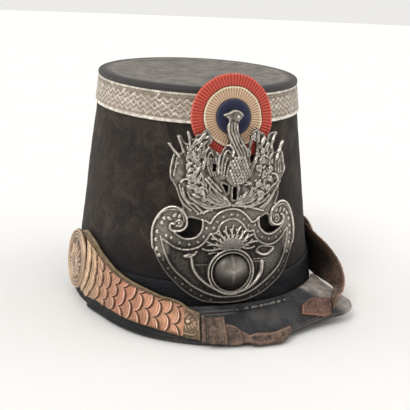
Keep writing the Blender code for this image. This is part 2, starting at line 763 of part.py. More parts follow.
def add_boss(name, surface, home):
    """A domed disc with a raised rim and ring, over the start of a strap."""
    centre, normal = boss_seat(surface)
    across = Vector((0.0, 0.0, 1.0)).cross(normal).normalized()
    up = normal.cross(across)
    radius = BOSS_DIAMETER / 2
    rings = []
    for share, rise in BOSS_PROFILE:
        ring = []
        for angle_here in round_angles(24):
            turn = math.radians(angle_here)
            spoke = (across * math.cos(turn) + up * math.sin(turn)) * radius * share
            ring.append(centre + spoke + normal * rise * BOSS_THICKNESS)
        rings.append(ring)
    return add_piece(name, loft(rings, closed=False), BRASS, home, sharp=50.0)


def band_point(angle, share):
    """Point of a strap's outer face on the base band, so many shares of the boss's diameter up."""
    return wall_point(angle, share * BOSS_DIAMETER, STRAP_LIFT)


def front_point(angle, place):
    """Point of a strap's outer face above the peak's seam, or on the peak where the place is below 0."""
    if place < 0.0:
        return peak_point(angle, -place, PEAK_THICKNESS + 2 * GAP + STRAP_THICKNESS)
    seam = seam_point(angle)
    return wall_point(angle, seam.z + PEAK_THICKNESS + place * BOSS_DIAMETER, STRAP_LIFT)


def right_strap_edges():
    """Upper and lower edge points of the right strap's outer face."""
    edges = [(band_point(angle, upper), band_point(angle, lower)) for angle, upper, lower in
             smooth_path(STRAP_ON_BAND, 3)]
    for angle, upper, lower in smooth_path(RIGHT_STRAP, 2):
        edges.append((front_point(angle, upper), front_point(angle, lower)))
    return edges


def left_strap_edges():
    angle, upper, lower = STRAP_ON_BAND[0]
    angle = LEFT_BOSS_BACK - angle
    edges = [(band_point(angle, upper), band_point(angle, lower))]
    for row in LEFT_STRAP:
        edges.append([
            Vector((side * BASE_HALF_WIDTH, -front * BASE_HALF_DEPTH, up * BOSS_DIAMETER))
            for side, front, up in row
        ])
    edges.append([peak_point(*place, PEAK_THICKNESS + 3 * GAP + SCALE_RISE + SCALE_THICKNESS)
                  for place in LEFT_STRAP_END])
    return edges


class StrapSurface:
    """The outer face of a strap, ruled between its two edges."""

    def __init__(self, edges, outside):
        self.upper = smooth_path([edge[0] for edge in edges], 6)
        self.lower = smooth_path([edge[1] for edge in edges], 6)
        self.outside = outside
        self.reach = [0.0]
        middles = [0.5 * (a + b) for a, b in zip(self.upper, self.lower)]
        for a, b in zip(middles, middles[1:]):
            self.reach.append(self.reach[-1] + (b - a).length)

    def length(self):
        return self.reach[-1]

    def edges_at(self, along):
        """Edge points at a distance along the strap."""
        along = min(max(along, 0.0), self.length())
        for i in range(len(self.reach) - 1):
            if along <= self.reach[i + 1]:
                break
        share = (along - self.reach[i]) / (self.reach[i + 1] - self.reach[i])
        return self.upper[i].lerp(self.upper[i + 1], share), self.lower[i].lerp(self.lower[i + 1], share)

    def outward(self, along, across):
        upper, lower = self.edges_at(along)
        before = self.edges_at(along - STRAP_PROBE)
        after = self.edges_at(along + STRAP_PROBE)
        ahead = after[0].lerp(after[1], across) - before[0].lerp(before[1], across)
        return (lower - upper).cross(ahead).normalized() * self.outside

    def point(self, along, across, lift=0.0):
        """Point at a distance along, a share of the width across, and so far off the face."""
        upper, lower = self.edges_at(along)
        crown = STRAP_CROWN * math.sin(math.pi * across) * min(along / BOSS_DIAMETER, 1.0)
        return upper.lerp(lower, across) + self.outward(along, across) * (lift + crown)


def add_strap(name, surface, home):
    steps = 24
    rows = []
    for i in range(steps + 1):
        along = surface.length() * i / steps
        rows.append([surface.point(along, across) for across in (0.0, 0.5, 1.0)])
    return add_sheet(name, rows, STRAP_THICKNESS, BROWN_HIDE, home, side=-surface.outside)


def lobe_reach(across, row, lobes):
    """How far a row's free edge bulges, 0 to 1: so many lobes, the outer ones halved on every other row."""
    phase = lobes * across + (0.5 if row % 2 else 0.0)
    return math.sqrt(max(0.0, 1.0 - (2.0 * (phase % 1.0) - 1.0) ** 2))


def add_scales(prefix, surface, start, home):
    """Rows of lobed scales, each over the tail of the next."""
    pitch = (surface.length() - start - TIP_PLATE_LENGTH) / SCALE_ROWS
    places = [i / 10 for i in range(11)]
    inner = [mix(SCALE_MARGIN, 1.0 - SCALE_MARGIN, place) for place in places]
    for row in range(SCALE_ROWS):
        tail = start + pitch * row
        upper, lower = surface.edges_at(tail + pitch)
        lobes = max(2, round((lower - upper).length / SCALE_LOBE))
        rows = []
        for share in (0.0, 1.0):
            line = []
            for place, across in zip(places, inner):
                full = pitch * (1.0 + SCALE_OVERLAP * lobe_reach(place, row, lobes))
                line.append(surface.point(tail + full * share, across, GAP + SCALE_RISE * share))
            rows.append(line)
        add_sheet(f"{prefix}_{row + 1:02d}", rows, SCALE_THICKNESS, COPPER, home, side=surface.outside)


def add_tip_plate(name, surface, home):
    """The flat end plate, under the last row of scales and round at its end."""
    start = surface.length() - TIP_PLATE_LENGTH
    rows = []
    for i in range(6):
        share = i / 5
        narrow = TIP_MARGIN + TIP_TAPER * share ** 4
        along = start + (TIP_PLATE_LENGTH - GAP) * share
        rows.append([surface.point(along, mix(narrow, 1.0 - narrow, t / 3), GAP) for t in range(4)])
    return add_sheet(name, rows, SCALE_THICKNESS, BRASS, home, side=surface.outside)


def add_stud(name, surface, home):
    along = surface.length() - 0.62 * TIP_PLATE_LENGTH
    base = surface.point(along, 0.5, 2 * GAP + SCALE_THICKNESS)
    normal = (surface.point(along, 0.5, 1.0) - surface.point(along, 0.5, 0.0)).normalized()
    across = normal.orthogonal().normalized()
    other = normal.cross(across)
    rings = []
    for share, rise in STUD_PROFILE:
        ring = []
        for angle in round_angles(12):
            turn = math.radians(angle)
            spoke = (across * math.cos(turn) + other * math.sin(turn)) * STUD_RADIUS * share
            ring.append(base + spoke + normal * rise * STUD_RADIUS)
        rings.append(ring)
    return add_piece(name, loft(rings, closed=False), BRASS, home)


def peak_rows(table, lift, along_steps, across_steps):
    """Rows of points on the peak's upper face between two edges."""
    path = smooth_path(table, along_steps)
    rows = []
    for angle, upper, lower in path:
        rows.append([
            peak_point(angle, mix(upper, lower, t / across_steps), PEAK_THICKNESS + lift)
            for t in range(across_steps + 1)
        ])
    return rows


def add_right_end(home):
    """The leather end that lies on the peak, and the loop round it."""
    add_sheet("strap_end_right", peak_rows(RIGHT_END, GAP, 2, 2), TONGUE_THICKNESS, BROWN_HIDE, home)
    lift = PEAK_THICKNESS + 2 * GAP + TONGUE_THICKNESS
    rows = []
    for i in range(4):
        angle = mix(*KEEPER_SIDES, i / 3)
        rows.append([peak_point(angle, mix(*KEEPER_PLACES, t / 3), lift) for t in range(4)])
    add_sheet("keeper_right", rows, TONGUE_THICKNESS, BROWN_HIDE, home)


def add_left_tab(home):
    """The tab of leather folded back on the peak."""
    rows = []
    for upper, lower in LEFT_TAB:
        rows.append([
            peak_point(mix(upper[0], lower[0], t / 3), mix(upper[1], lower[1], t / 3), PEAK_THICKNESS + GAP)
            for t in range(4)
        ])
    return add_sheet("strap_end_left", rows, STRAP_THICKNESS, BROWN_HIDE, home)


def centre_on_origin(home):
    """Moves every piece so that the origin is the bottom centre of the whole hat's box."""
    graph = bpy.context.evaluated_depsgraph_get()
    points = []
    for piece in home.objects:
        points += [vert.co.copy() for vert in piece.evaluated_get(graph).data.vertices]
    low = Vector([min(point[i] for point in points) for i in range(3)])
    high = Vector([max(point[i] for point in points) for i in range(3)])
    shift = Matrix.Translation((-0.5 * (low.x + high.x), -0.5 * (low.y + high.y), -low.z))
    for piece in home.objects:
        piece.data.transform(shift)


def build():
    clear_scene()
    home = collection("shako")
    helpers = collection("shako helpers", hidden=True)
    add_crown(home)
    add_peak(home)
    add_plate(home, helpers)
    add_cockade(home)
    right = StrapSurface(right_strap_edges(), 1.0)
    left = StrapSurface(left_strap_edges(), -1.0)
    for prefix, surface in (("right", right), ("left", left)):
        add_boss(f"boss_{prefix}", surface, home)
        add_strap(f"strap_{prefix}", surface, home)
        add_scales(f"scale_{prefix}", surface, BOSS_PLACE + BOSS_DIAMETER / 2 + GAP, home)
        add_tip_plate(f"tip_plate_{prefix}", surface, home)
    add_stud("tip_stud_right", right, home)
    add_right_end(home)
    add_left_tab(home)
    centre_on_origin(home)


build()
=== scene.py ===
import math

import bmesh
import bpy
import numpy as np
from mathutils import Matrix, Vector


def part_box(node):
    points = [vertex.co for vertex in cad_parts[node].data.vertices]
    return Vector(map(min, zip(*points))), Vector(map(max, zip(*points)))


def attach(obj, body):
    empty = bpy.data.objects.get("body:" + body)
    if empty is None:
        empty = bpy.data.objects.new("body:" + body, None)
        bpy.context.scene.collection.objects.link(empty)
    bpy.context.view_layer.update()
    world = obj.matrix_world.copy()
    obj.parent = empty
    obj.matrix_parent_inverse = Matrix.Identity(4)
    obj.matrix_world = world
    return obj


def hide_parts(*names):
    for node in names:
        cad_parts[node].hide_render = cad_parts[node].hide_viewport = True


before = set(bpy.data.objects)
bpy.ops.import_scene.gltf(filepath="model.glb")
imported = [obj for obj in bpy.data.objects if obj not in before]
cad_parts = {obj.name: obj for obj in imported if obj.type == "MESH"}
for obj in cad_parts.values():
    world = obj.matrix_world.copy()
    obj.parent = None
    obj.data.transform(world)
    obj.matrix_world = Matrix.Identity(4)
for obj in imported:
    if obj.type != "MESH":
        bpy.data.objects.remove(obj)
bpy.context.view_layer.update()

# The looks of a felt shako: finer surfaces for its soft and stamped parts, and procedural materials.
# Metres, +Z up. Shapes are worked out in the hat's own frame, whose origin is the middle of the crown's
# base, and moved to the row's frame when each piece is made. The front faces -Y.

FELT_LOW, FELT_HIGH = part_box("crown_felt")
HAT_MIDDLE = np.array([0.5 * (FELT_LOW.x + FELT_HIGH.x), 0.5 * (FELT_LOW.y + FELT_HIGH.y), 0.0])
MM = 0.001

# Sizes of the CAD part that the finer surfaces follow.
CROWN_HEIGHT = 0.1572
BASE_HALF_WIDTH = 0.0900
BASE_HALF_DEPTH = 0.0954
TOP_HALF_WIDTH = 0.0697
TOP_HALF_DEPTH = 0.0718
TOP_SHIFT = 0.0025
TOP_SLOPE = 0.055
FELT_WALL = 0.0030
GAP = 0.0003
TOP_RIM_RISE = 0.0036
TOP_BACK_RISE = 0.60
TOP_SINK = 0.0018
TOP_RIM_WIDTH = 0.0130
LACE_HEIGHT = 0.0190
LACE_THICKNESS = 0.0012
BAND_HEIGHT = 0.0340
BAND_THICKNESS = 0.0015
PEAK_THICKNESS = 0.0022
PEAK_REACH = 0.0385
PEAK_LIFT = 0.0120
PEAK_BULGE = 0.0012
SEAM_HEIGHT = 0.0185
SEAM_ROUND = 0.80
PLATE_RADIUS = 0.0840
PLATE_LEAN = 7.6
PLATE_FORWARD = 0.0026
PLATE_THICKNESS = 0.0010
COCKADE_RADIUS = 0.0272
COCKADE_CREAM_RADIUS = 0.0192
COCKADE_CENTRE_RADIUS = 0.0113
COCKADE_SIDE = 0.0024
COCKADE_HEIGHT = 0.1410
COCKADE_THICKNESS = 0.0020
COCKADE_BEND = 0.1100
BOSS_DIAMETER = 0.0430
BOSS_THICKNESS = 0.0018
BOSS_PLACE = 0.0080
LEFT_BOSS_BACK = 7.0
STRAP_THICKNESS = 0.0015
STRAP_CROWN = 0.0010
STRAP_PROBE = 0.0020
SCALE_ROWS = 13
SCALE_RISE = 0.0013
SCALE_THICKNESS = 0.0006
TIP_PLATE_LENGTH = 0.0125
STUD_RADIUS = 0.0016
TONGUE_THICKNESS = 0.0016
STRAP_LIFT = 2 * GAP + BAND_THICKNESS + STRAP_THICKNESS

# Peak: seam angle, edge angle, share of PEAK_REACH and share of PEAK_LIFT at each station.
PEAK_ROWS = (
    (-66.0, -66.0, 0.065, 0.05),
    (-57.0, -57.5, 0.085, 0.05),
    (-47.0, -47.5, 0.190, 0.05),
    (-34.0, -34.5, 0.310, 0.05),
    (-22.0, -22.5, 0.370, 0.05),
    (-9.0, -8.5, 0.455, 0.05),
    (5.0, 5.5, 0.530, 0.12),
    (18.0, 19.5, 0.600, 0.28),
    (27.0, 28.0, 0.660, 0.42),
    (34.0, 35.0, 0.790, 0.52),
    (39.0, 39.5, 0.940, 0.60),
    (44.0, 43.8, 0.995, 0.66),
    (48.0, 47.0, 0.910, 0.72),
    (52.0, 49.8, 0.720, 0.72),
    (58.0, 55.5, 0.430, 0.70),
    (66.0, 64.5, 0.095, 0.66),
)
# Chin strap: angle and shares of BOSS_DIAMETER up, then of the way down the peak where negative.
STRAP_ON_BAND = ((-86.0, 1.090, 0.100), (-74.0, 1.200, 0.215))
RIGHT_STRAP = (
    (-65.5, 0.793, -0.200),
    (-57.5, 0.592, -0.260),
    (-50.5, 0.435, -0.440),
    (-42.5, 0.306, -0.620),
    (-35.5, 0.222, -0.700),
    (-28.5, 0.130, -0.760),
    (-21.0, 0.055, -0.850),
    (-13.2, -0.220, -0.940),
)
RIGHT_END = (
    (-12.7, 0.270, 0.980),
    (-8.0, 0.440, 1.000),
    (-4.5, 0.520, 1.030),
    (-1.5, 0.580, 1.050),
    (0.5, 0.700, 1.040),
    (3.0, 0.850, 1.020),
    (5.5, 0.840, 1.120),
    (10.5, 0.900, 1.150),
    (14.0, 0.890, 1.190),
    (17.0, 0.870, 1.100),
)
KEEPER_SIDES = (-10.6, -4.5)
KEEPER_PLACES = (0.360, 1.030)
LEFT_STRAP = (
    ((0.989, 0.105, 1.023), (1.024, 0.126, 0.170)),
    ((1.007, 0.231, 0.949), (1.016, 0.231, 0.178)),
    ((1.038, 0.409, 0.860), (1.003, 0.356, 0.200)),
    ((1.063, 0.524, 0.756), (0.994, 0.482, 0.235)),
    ((1.061, 0.650, 0.647), (0.983, 0.597, 0.280)),
    ((1.034, 0.765, 0.519), (0.967, 0.702, 0.315)),
    ((0.967, 0.881, 0.430), (0.928, 0.791, 0.370)),
    ((0.861, 0.985, 0.375), (0.900, 0.838, 0.400)),
)
LEFT_STRAP_END = ((35.0, 0.980), (42.0, 0.600))
LEFT_TAB = (
    ((28.0, 0.520), (25.0, 0.720)),
    ((33.5, 0.440), (29.0, 0.870)),
    ((37.5, 0.490), (31.5, 0.970)),
    ((41.0, 0.580), (34.0, 0.990)),
)


# Numbers
def mix(first, second, share):
    return first + (second - first) * share


def smooth_path(points, steps):
    """Points on a Catmull-Rom curve through the given ones, as an array."""
    given = np.array(points, float)
    ends = np.vstack([2 * given[0] - given[1], given, 2 * given[-1] - given[-2]])
    path = []
    for a, b, c, d in zip(ends, ends[1:], ends[2:], ends[3:]):
        for step in range(steps):
            t = step / steps
            path.append(
                0.5 * (2 * b + (c - a) * t + (2 * a - 5 * b + 4 * c - d) * t * t
                       + (3 * b - 3 * c + d - a) * t * t * t)
            )
    path.append(given[-1])
    return np.array(path)


WAVES = 7
WAVE_PACES = (0.6, 1.5)
WAVE_LEVEL = 4.5


def wobble(x, y, size, seed):
    """Smooth seeded unevenness between about -1 and 1, with bumps of about a size."""
    rng = np.random.default_rng(seed)
    total = 0.0
    for _ in range(WAVES):
        heading, phase = rng.uniform(0.0, 2 * math.pi, 2)
        pace = rng.uniform(*WAVE_PACES) * 2 * math.pi / size
        total = total + np.sin(pace * (x * math.cos(heading) + y * math.sin(heading)) + phase)
    return total / WAVE_LEVEL


def unit(vectors):
    return vectors / np.maximum(np.linalg.norm(vectors, axis=-1, keepdims=True), 1e-12)


def bell(distance, width):
    return np.exp(-(distance / width) ** 2)


def step_up(value, low, high):
    """0 below low, 1 above high, smooth between."""
    t = np.clip((value - low) / (high - low), 0.0, 1.0)
    return t * t * (3 - 2 * t)


def clipped(value):
    return np.clip(value, 0.0, 1.0)


def window(value, start, full, fading, gone):
    """1 between full and fading, 0 before start and after gone, smooth between."""
    return step_up(value, start, full) * (1.0 - step_up(value, fading, gone))


def grid(down, along):
    """Two arrays over a grid: the numbers down its rows and along them, each from first, last and count."""
    return np.meshgrid(np.linspace(*down), np.linspace(*along), indexing="ij")


def full_turn(count):
    return np.arange(count) * 2 * math.pi / count


# Meshes
def facing_out(points, faces):
    """The faces of a closed solid, all turned over where they face its inside."""
    corner = points[faces]
    near, far = np.cross(corner[:, 1], corner[:, 2]), np.cross(corner[:, 2], corner[:, 3])
    volume = np.sum(corner[:, 0] * (near + far))
    return faces[:, ::-1] if volume < 0.0 else faces


def make_piece(name, points, faces, look, replaced=(), values=None):
    """One object from points in the hat's frame, with its named point values."""
    mesh = bpy.data.meshes.new(name)
    moved = np.asarray(points, float).reshape(-1, 3) + HAT_MIDDLE
    faces = facing_out(moved, faces)
    mesh.from_pydata(moved.tolist(), [], [list(face) for face in faces])
    mesh.validate()
    mesh.shade_smooth()
    for key, value in (values or {}).items():
        layer = mesh.attributes.new(key, "FLOAT", "POINT")
        layer.data.foreach_set("value", np.asarray(value, np.float32).ravel())
    mesh.materials.append(look)
    piece = bpy.data.objects.new(name, mesh)
    bpy.context.scene.collection.objects.link(piece)
    if replaced:
        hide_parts(*replaced)
    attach(piece, "root")


def grid_faces(rows, columns, wrap=False):
    """Quads of a grid of points kept row by row."""
    i, j = np.meshgrid(np.arange(rows - 1), np.arange(columns if wrap else columns - 1), indexing="ij")
    k = (j + 1) % columns
    quads = np.stack([i * columns + j, i * columns + k, (i + 1) * columns + k, (i + 1) * columns + j], -1)
    return quads.reshape(-1, 4)


def rim_faces(line, other, wrap=False):
    """Quads that join two lines of point numbers."""
    after, other_after = np.roll(line, -1), np.roll(other, -1)
    quads = np.stack([line, other, other_after, after], -1)
    return quads if wrap else quads[:-1]


def shell(name, outer, inner, look, replaced=(), values=None, wrap=False):
    """A closed solid between two grids of points, joined round their borders."""
    rows, columns = outer.shape[:2]
    count = rows * columns
    number = np.arange(count).reshape(rows, columns)
    sheet = grid_faces(rows, columns, wrap)
    faces = [sheet, sheet[:, ::-1] + count]
    borders = [number[0], number[-1][::-1]]
    if not wrap:
        borders += [number[:, -1], number[::-1, 0]]
    faces += [rim_faces(line, line + count, wrap) for line in borders]
    both = {key: np.concatenate([np.ravel(v), np.ravel(v)]) for key, v in (values or {}).items()}
    points = np.concatenate([outer.reshape(-1, 3), inner.reshape(-1, 3)])
    make_piece(name, points, np.concatenate(faces), look, replaced, both)


# The hat's own surfaces
def wall(angle, height, lift=0.0):
    """Points off the crown's outer face, at degrees from the front towards the wearer's left."""
    turn = np.radians(angle)
    share = np.asarray(height) / CROWN_HEIGHT
    half_width = mix(BASE_HALF_WIDTH, TOP_HALF_WIDTH, share) + lift
    half_depth = mix(BASE_HALF_DEPTH, TOP_HALF_DEPTH, share) + lift
    x, y, z = half_width * np.sin(turn), share * TOP_SHIFT - half_depth * np.cos(turn), height
    return np.stack(np.broadcast_arrays(x, y, z), -1)


def top_height(angle):
    return CROWN_HEIGHT - TOP_SLOPE * TOP_HALF_DEPTH * np.cos(np.radians(angle))


def round_grid(rows, columns):
    """Angles and shares of the way up of a grid round the crown."""
    angle, up = np.meshgrid(np.arange(columns) * 360.0 / columns, np.linspace(0.0, 1.0, rows))
    return angle, up


def seam(angle):
    height = SEAM_HEIGHT * np.cos(np.radians(SEAM_ROUND * angle))
    return wall(angle, height, 2 * GAP + BAND_THICKNESS)


PEAK_STEPS = 8
EDGE_STEPS = 6
PEAK_TABLE = smooth_path(PEAK_ROWS, PEAK_STEPS)


def peak(angle, share, lift=0.0):
    """Points off the peak's underside, so far of the way from the seam to the edge."""
    angle, share = np.broadcast_arrays(np.asarray(angle, float), np.asarray(share, float))
    edge_angle, reach, height = (np.interp(angle, PEAK_TABLE[:, 0], PEAK_TABLE[:, i]) for i in (1, 2, 3))
    start = seam(angle)
    down = wall(edge_angle, height * PEAK_LIFT, reach * PEAK_REACH) - start
    along = wall(angle + 1.0, 0.0) - wall(angle - 1.0, 0.0)
    out = unit(np.cross(along, down))
    out = out * np.where(out[..., 2:] < 0.0, -1.0, 1.0)
    rise = lift + PEAK_BULGE * np.sin(math.pi * np.minimum(share, 1.0))
    return start + down * share[..., None] + out * np.asarray(rise)[..., None]


def front_frame(lean, clearance):
    """Foot, upward and outward directions of a surface that leans back in front of the crown."""
    cos, sin = math.cos(math.radians(lean)), math.sin(math.radians(lean))
    foot = np.array([0.0, -BASE_HALF_DEPTH - clearance, 0.0])
    return foot, np.array([0.0, sin, cos]), np.array([0.0, -cos, sin])


def bent(across, up, lift, radius, where):
    """Points of a flat design wrapped on a cylinder."""
    foot, upward, outward = where
    turn = across / radius
    side = (radius + lift) * np.sin(turn)
    depth = (radius + lift) * np.cos(turn) - radius
    sideways = np.array([1.0, 0.0, 0.0])
    return foot + up[..., None] * upward + depth[..., None] * outward + side[..., None] * sideways


class Strap:
    """The outer face of a strap, ruled between its two edges."""

    def __init__(self, edges, outside):
        self.upper = smooth_path([edge[0] for edge in edges], EDGE_STEPS)
        self.lower = smooth_path([edge[1] for edge in edges], EDGE_STEPS)
        self.outside = outside
        middle = 0.5 * (self.upper + self.lower)
        self.reach = np.concatenate([[0.0], np.cumsum(np.linalg.norm(np.diff(middle, axis=0), axis=1))])
        self.length = self.reach[-1]

    def edges(self, along):
        along = np.clip(along, 0.0, self.length)
        upper = np.stack([np.interp(along, self.reach, self.upper[:, i]) for i in range(3)], -1)
        lower = np.stack([np.interp(along, self.reach, self.lower[:, i]) for i in range(3)], -1)
        return upper, lower

    def width(self, along):
        upper, lower = self.edges(along)
        return np.linalg.norm(lower - upper, axis=-1)

    def outward(self, along, across):
        upper, lower = self.edges(along)
        before, after = self.edges(along - STRAP_PROBE), self.edges(along + STRAP_PROBE)
        share = across[..., None]
        ahead = mix(after[0], after[1], share) - mix(before[0], before[1], share)
        return unit(np.cross(lower - upper, ahead)) * self.outside

    def points(self, along, across, lift=0.0):
        upper, lower = self.edges(along)
        crown = STRAP_CROWN * np.sin(math.pi * across) * np.minimum(along / BOSS_DIAMETER, 1.0)
        return mix(upper, lower, across[..., None]) + self.outward(along, across) * (lift + crown)[..., None]


def band_point(angle, share):
    return wall(angle, share * BOSS_DIAMETER, STRAP_LIFT)


def front_point(angle, place):
    """Point of a strap's outer face above the peak's seam, or on the peak where the place is below 0."""
    if place < 0.0:
        return peak(angle, -place, PEAK_THICKNESS + 2 * GAP + STRAP_THICKNESS)
    return wall(angle, seam(angle)[2] + PEAK_THICKNESS + place * BOSS_DIAMETER, STRAP_LIFT)


def right_edges():
    edges = []
    for angle, upper, lower in smooth_path(STRAP_ON_BAND, 3):
        edges.append((band_point(angle, upper), band_point(angle, lower)))
    for angle, upper, lower in smooth_path(RIGHT_STRAP, 2):
        edges.append((front_point(angle, upper), front_point(angle, lower)))
    return edges


def left_edges():
    angle, upper, lower = STRAP_ON_BAND[0]
    angle = LEFT_BOSS_BACK - angle
    edges = [(band_point(angle, upper), band_point(angle, lower))]
    for row in LEFT_STRAP:
        edges.append([
            np.array([side * BASE_HALF_WIDTH, -front * BASE_HALF_DEPTH, up * BOSS_DIAMETER])
            for side, front, up in row
        ])
    lift = PEAK_THICKNESS + 3 * GAP + SCALE_RISE + SCALE_THICKNESS
    edges.append([peak(angle_here, share, lift) for angle_here, share in LEFT_STRAP_END])
    return edges


# Materials. The colour mixer's sockets are known by number.
MIX_SHARE, MIX_FIRST, MIX_SECOND, MIX_COLOUR = 0, 6, 7, 2


class Look:
    """A material's nodes, added one by one."""

    def __init__(self, name, roughness, metallic=0.0):
        self.material = bpy.data.materials.new(name)
        self.material.use_nodes = True
        self.tree = self.material.node_tree
        self.shader = self.tree.nodes["Principled BSDF"]
        self.set(self.shader, {"Roughness": roughness, "Metallic": metallic})
        self.object_place = self.add("ShaderNodeTexCoord").outputs["Object"]

    def add(self, kind, settings=None):
        node = self.tree.nodes.new(kind)
        for key, value in (settings or {}).items():
            setattr(node, key, value)
        return node

    def set(self, node, inputs):
        """Gives sockets their values, by linking where the value is another node's output."""
        for key, value in inputs.items():
            if isinstance(value, bpy.types.NodeSocket):
                self.tree.links.new(value, node.inputs[key])
            else:
                node.inputs[key].default_value = value

    def value(self, name):
        return self.add("ShaderNodeAttribute", {"attribute_name": name}).outputs["Fac"]

    def stretched(self, stretch):
        node = self.add("ShaderNodeMapping")
        self.set(node, {"Vector": self.object_place, "Scale": stretch})
        return node.outputs["Vector"]

    def noise(self, scale, detail, rough, place=None, twist=0.0):
        node = self.add("ShaderNodeTexNoise")
        self.set(node, {"Vector": place or self.object_place, "Scale": scale, "Detail": detail,
                        "Roughness": rough, "Distortion": twist})
        return node.outputs["Fac"]

    def ramp(self, value, stops):
        """Colour or grey of a value, from pairs of place and colour."""
        node = self.add("ShaderNodeValToRGB")
        marks = node.color_ramp.elements
        while len(marks) < len(stops):
            marks.new(0.5)
        for mark, (place, colour) in zip(marks, stops):
            mark.position = place
            mark.color = (colour, colour, colour, 1.0) if isinstance(colour, float) else (*colour, 1.0)
        self.set(node, {"Fac": value})
        return node.outputs["Color"]

    def blend(self, share, first, second):
        node = self.add("ShaderNodeMix", {"data_type": "RGBA"})
        first, second = ((*v, 1.0) if isinstance(v, tuple) else v for v in (first, second))
        self.set(node, {MIX_SHARE: share, MIX_FIRST: first, MIX_SECOND: second})
        return node.outputs[MIX_COLOUR]

    def stain(self, tone, value, stops, colour):
        """A tone with a colour mixed in by a value, from pairs of its place and the colour's share."""
        return self.blend(self.ramp(value, stops), tone, colour)

    def scaled(self, value, factor):
        node = self.add("ShaderNodeMath", {"operation": "MULTIPLY"})
        self.set(node, {0: value, 1: factor})
        return node.outputs[0]

    def bump(self, height, distance, strength, under=None):
        node = self.add("ShaderNodeBump")
        self.set(node, {"Height": height, "Distance": distance, "Strength": strength})
        if under is not None:
            self.set(node, {"Normal": under})
        return node.outputs["Normal"]

    def done(self, **inputs):
        self.set(self.shader, {key.replace("_", " "): value for key, value in inputs.items()})
        return self.material


def felt_look():
    look = Look("felt", 0.92)
    patches = look.noise(60.0, 7.0, 0.72, twist=0.8)
    streaks = look.noise(160.0, 4.0, 0.6, look.stretched((1.0, 1.0, 0.35)))
    fuzz = look.noise(1400.0, 3.0, 0.7)
    tone = look.ramp(patches, ((0.36, (0.0075, 0.0070, 0.0068)), (0.50, (0.0165, 0.0128, 0.0110)),
                               (0.62, (0.047, 0.038, 0.032))))
    tint = look.noise(28.0, 3.0, 0.5)
    tone = look.stain(tone, tint, ((0.52, 0.0), (0.70, 0.5)), (0.034, 0.018, 0.014))
    tone = look.stain(tone, tint, ((0.30, 0.4), (0.46, 0.0)), (0.014, 0.017, 0.016))
    worn = look.ramp(streaks, ((0.42, 0.0), (0.72, 1.0)))
    tone = look.blend(look.scaled(worn, 0.30), tone, (0.055, 0.046, 0.038))
    specks = look.ramp(fuzz, ((0.45, 0.0), (0.70, 1.0)))
    tone = look.blend(look.scaled(specks, 0.40), tone, (0.090, 0.075, 0.062))
    damp = look.scaled(look.value("damp"), 0.8)
    tone = look.blend(damp, tone, (0.0055, 0.0055, 0.0075))
    bumps = look.bump(fuzz, 0.0006, 0.8, look.bump(streaks, 0.0012, 0.5))
    return look.done(Base_Color=tone, Normal=bumps, Sheen_Weight=0.10, Sheen_Roughness=0.4,
                     Sheen_Tint=(0.75, 0.66, 0.58, 1.0), Specular_IOR_Level=0.25)


def top_leather_look():
    look = Look("top leather", 0.55)
    grain = look.noise(900.0, 3.0, 0.6)
    stains = look.noise(85.0, 7.0, 0.75)
    scuffs = look.noise(320.0, 5.0, 0.7, look.stretched((0.4, 1.0, 1.0)))
    tone = look.ramp(stains, ((0.38, (0.046, 0.038, 0.032)), (0.50, (0.105, 0.090, 0.076)),
                              (0.62, (0.200, 0.174, 0.147))))
    tone = look.stain(tone, scuffs, ((0.42, 0.0), (0.72, 0.7)), (0.23, 0.205, 0.18))
    # Painted shade: the rim value darkens the rolled rim where it turns down from the light.
    tone = look.blend(look.value("rim"), tone, (0.016, 0.014, 0.013))
    # Painted highlight: the line value lays a pale line along the crease inside the rim.
    tone = look.blend(look.value("line"), tone, (0.30, 0.26, 0.22))
    bumps = look.bump(grain, 0.0004, 0.6, look.bump(scuffs, 0.0008, 0.4))
    return look.done(Base_Color=tone, Normal=bumps)


def lace_look():
    look = Look("silver lace", 0.48, 0.35)
    threads = look.noise(1100.0, 2.0, 0.6)
    dirt = look.noise(90.0, 5.0, 0.65)
    tone = look.ramp(look.value("weave"), ((0.08, (0.09, 0.065, 0.045)), (0.40, (0.56, 0.48, 0.385)),
                                           (0.80, (1.00, 0.95, 0.86))))
    worn = look.noise(260.0, 4.0, 0.7)
    tone = look.stain(tone, worn, ((0.46, 0.0), (0.60, 0.60)), (0.34, 0.28, 0.22))
    tone = look.stain(tone, worn, ((0.34, 0.60), (0.44, 0.0)), (1.00, 0.96, 0.88))
    tone = look.stain(tone, dirt, ((0.48, 0.0), (0.78, 0.60)), (0.36, 0.30, 0.23))
    tone = look.stain(tone, threads, ((0.48, 0.0), (0.70, 0.35)), (0.20, 0.17, 0.13))
    bumps = look.bump(threads, 0.0005, 0.7)
    return look.done(Base_Color=tone, Normal=bumps)


def black_leather_look():
    look = Look("black leather", 0.52)
    grain = look.noise(800.0, 3.0, 0.6)
    rubs = look.noise(70.0, 5.0, 0.6)
    tone = look.ramp(rubs, ((0.35, (0.0020, 0.0022, 0.0040)), (0.70, (0.0060, 0.0062, 0.0095))))
    creases = look.noise(60.0, 6.0, 0.65, look.stretched((1.0, 1.0, 3.0)))
    bumps = look.bump(grain, 0.0004, 0.5, look.bump(creases, 0.0020, 0.6))
    return look.done(Base_Color=tone, Normal=bumps, Specular_IOR_Level=0.18)


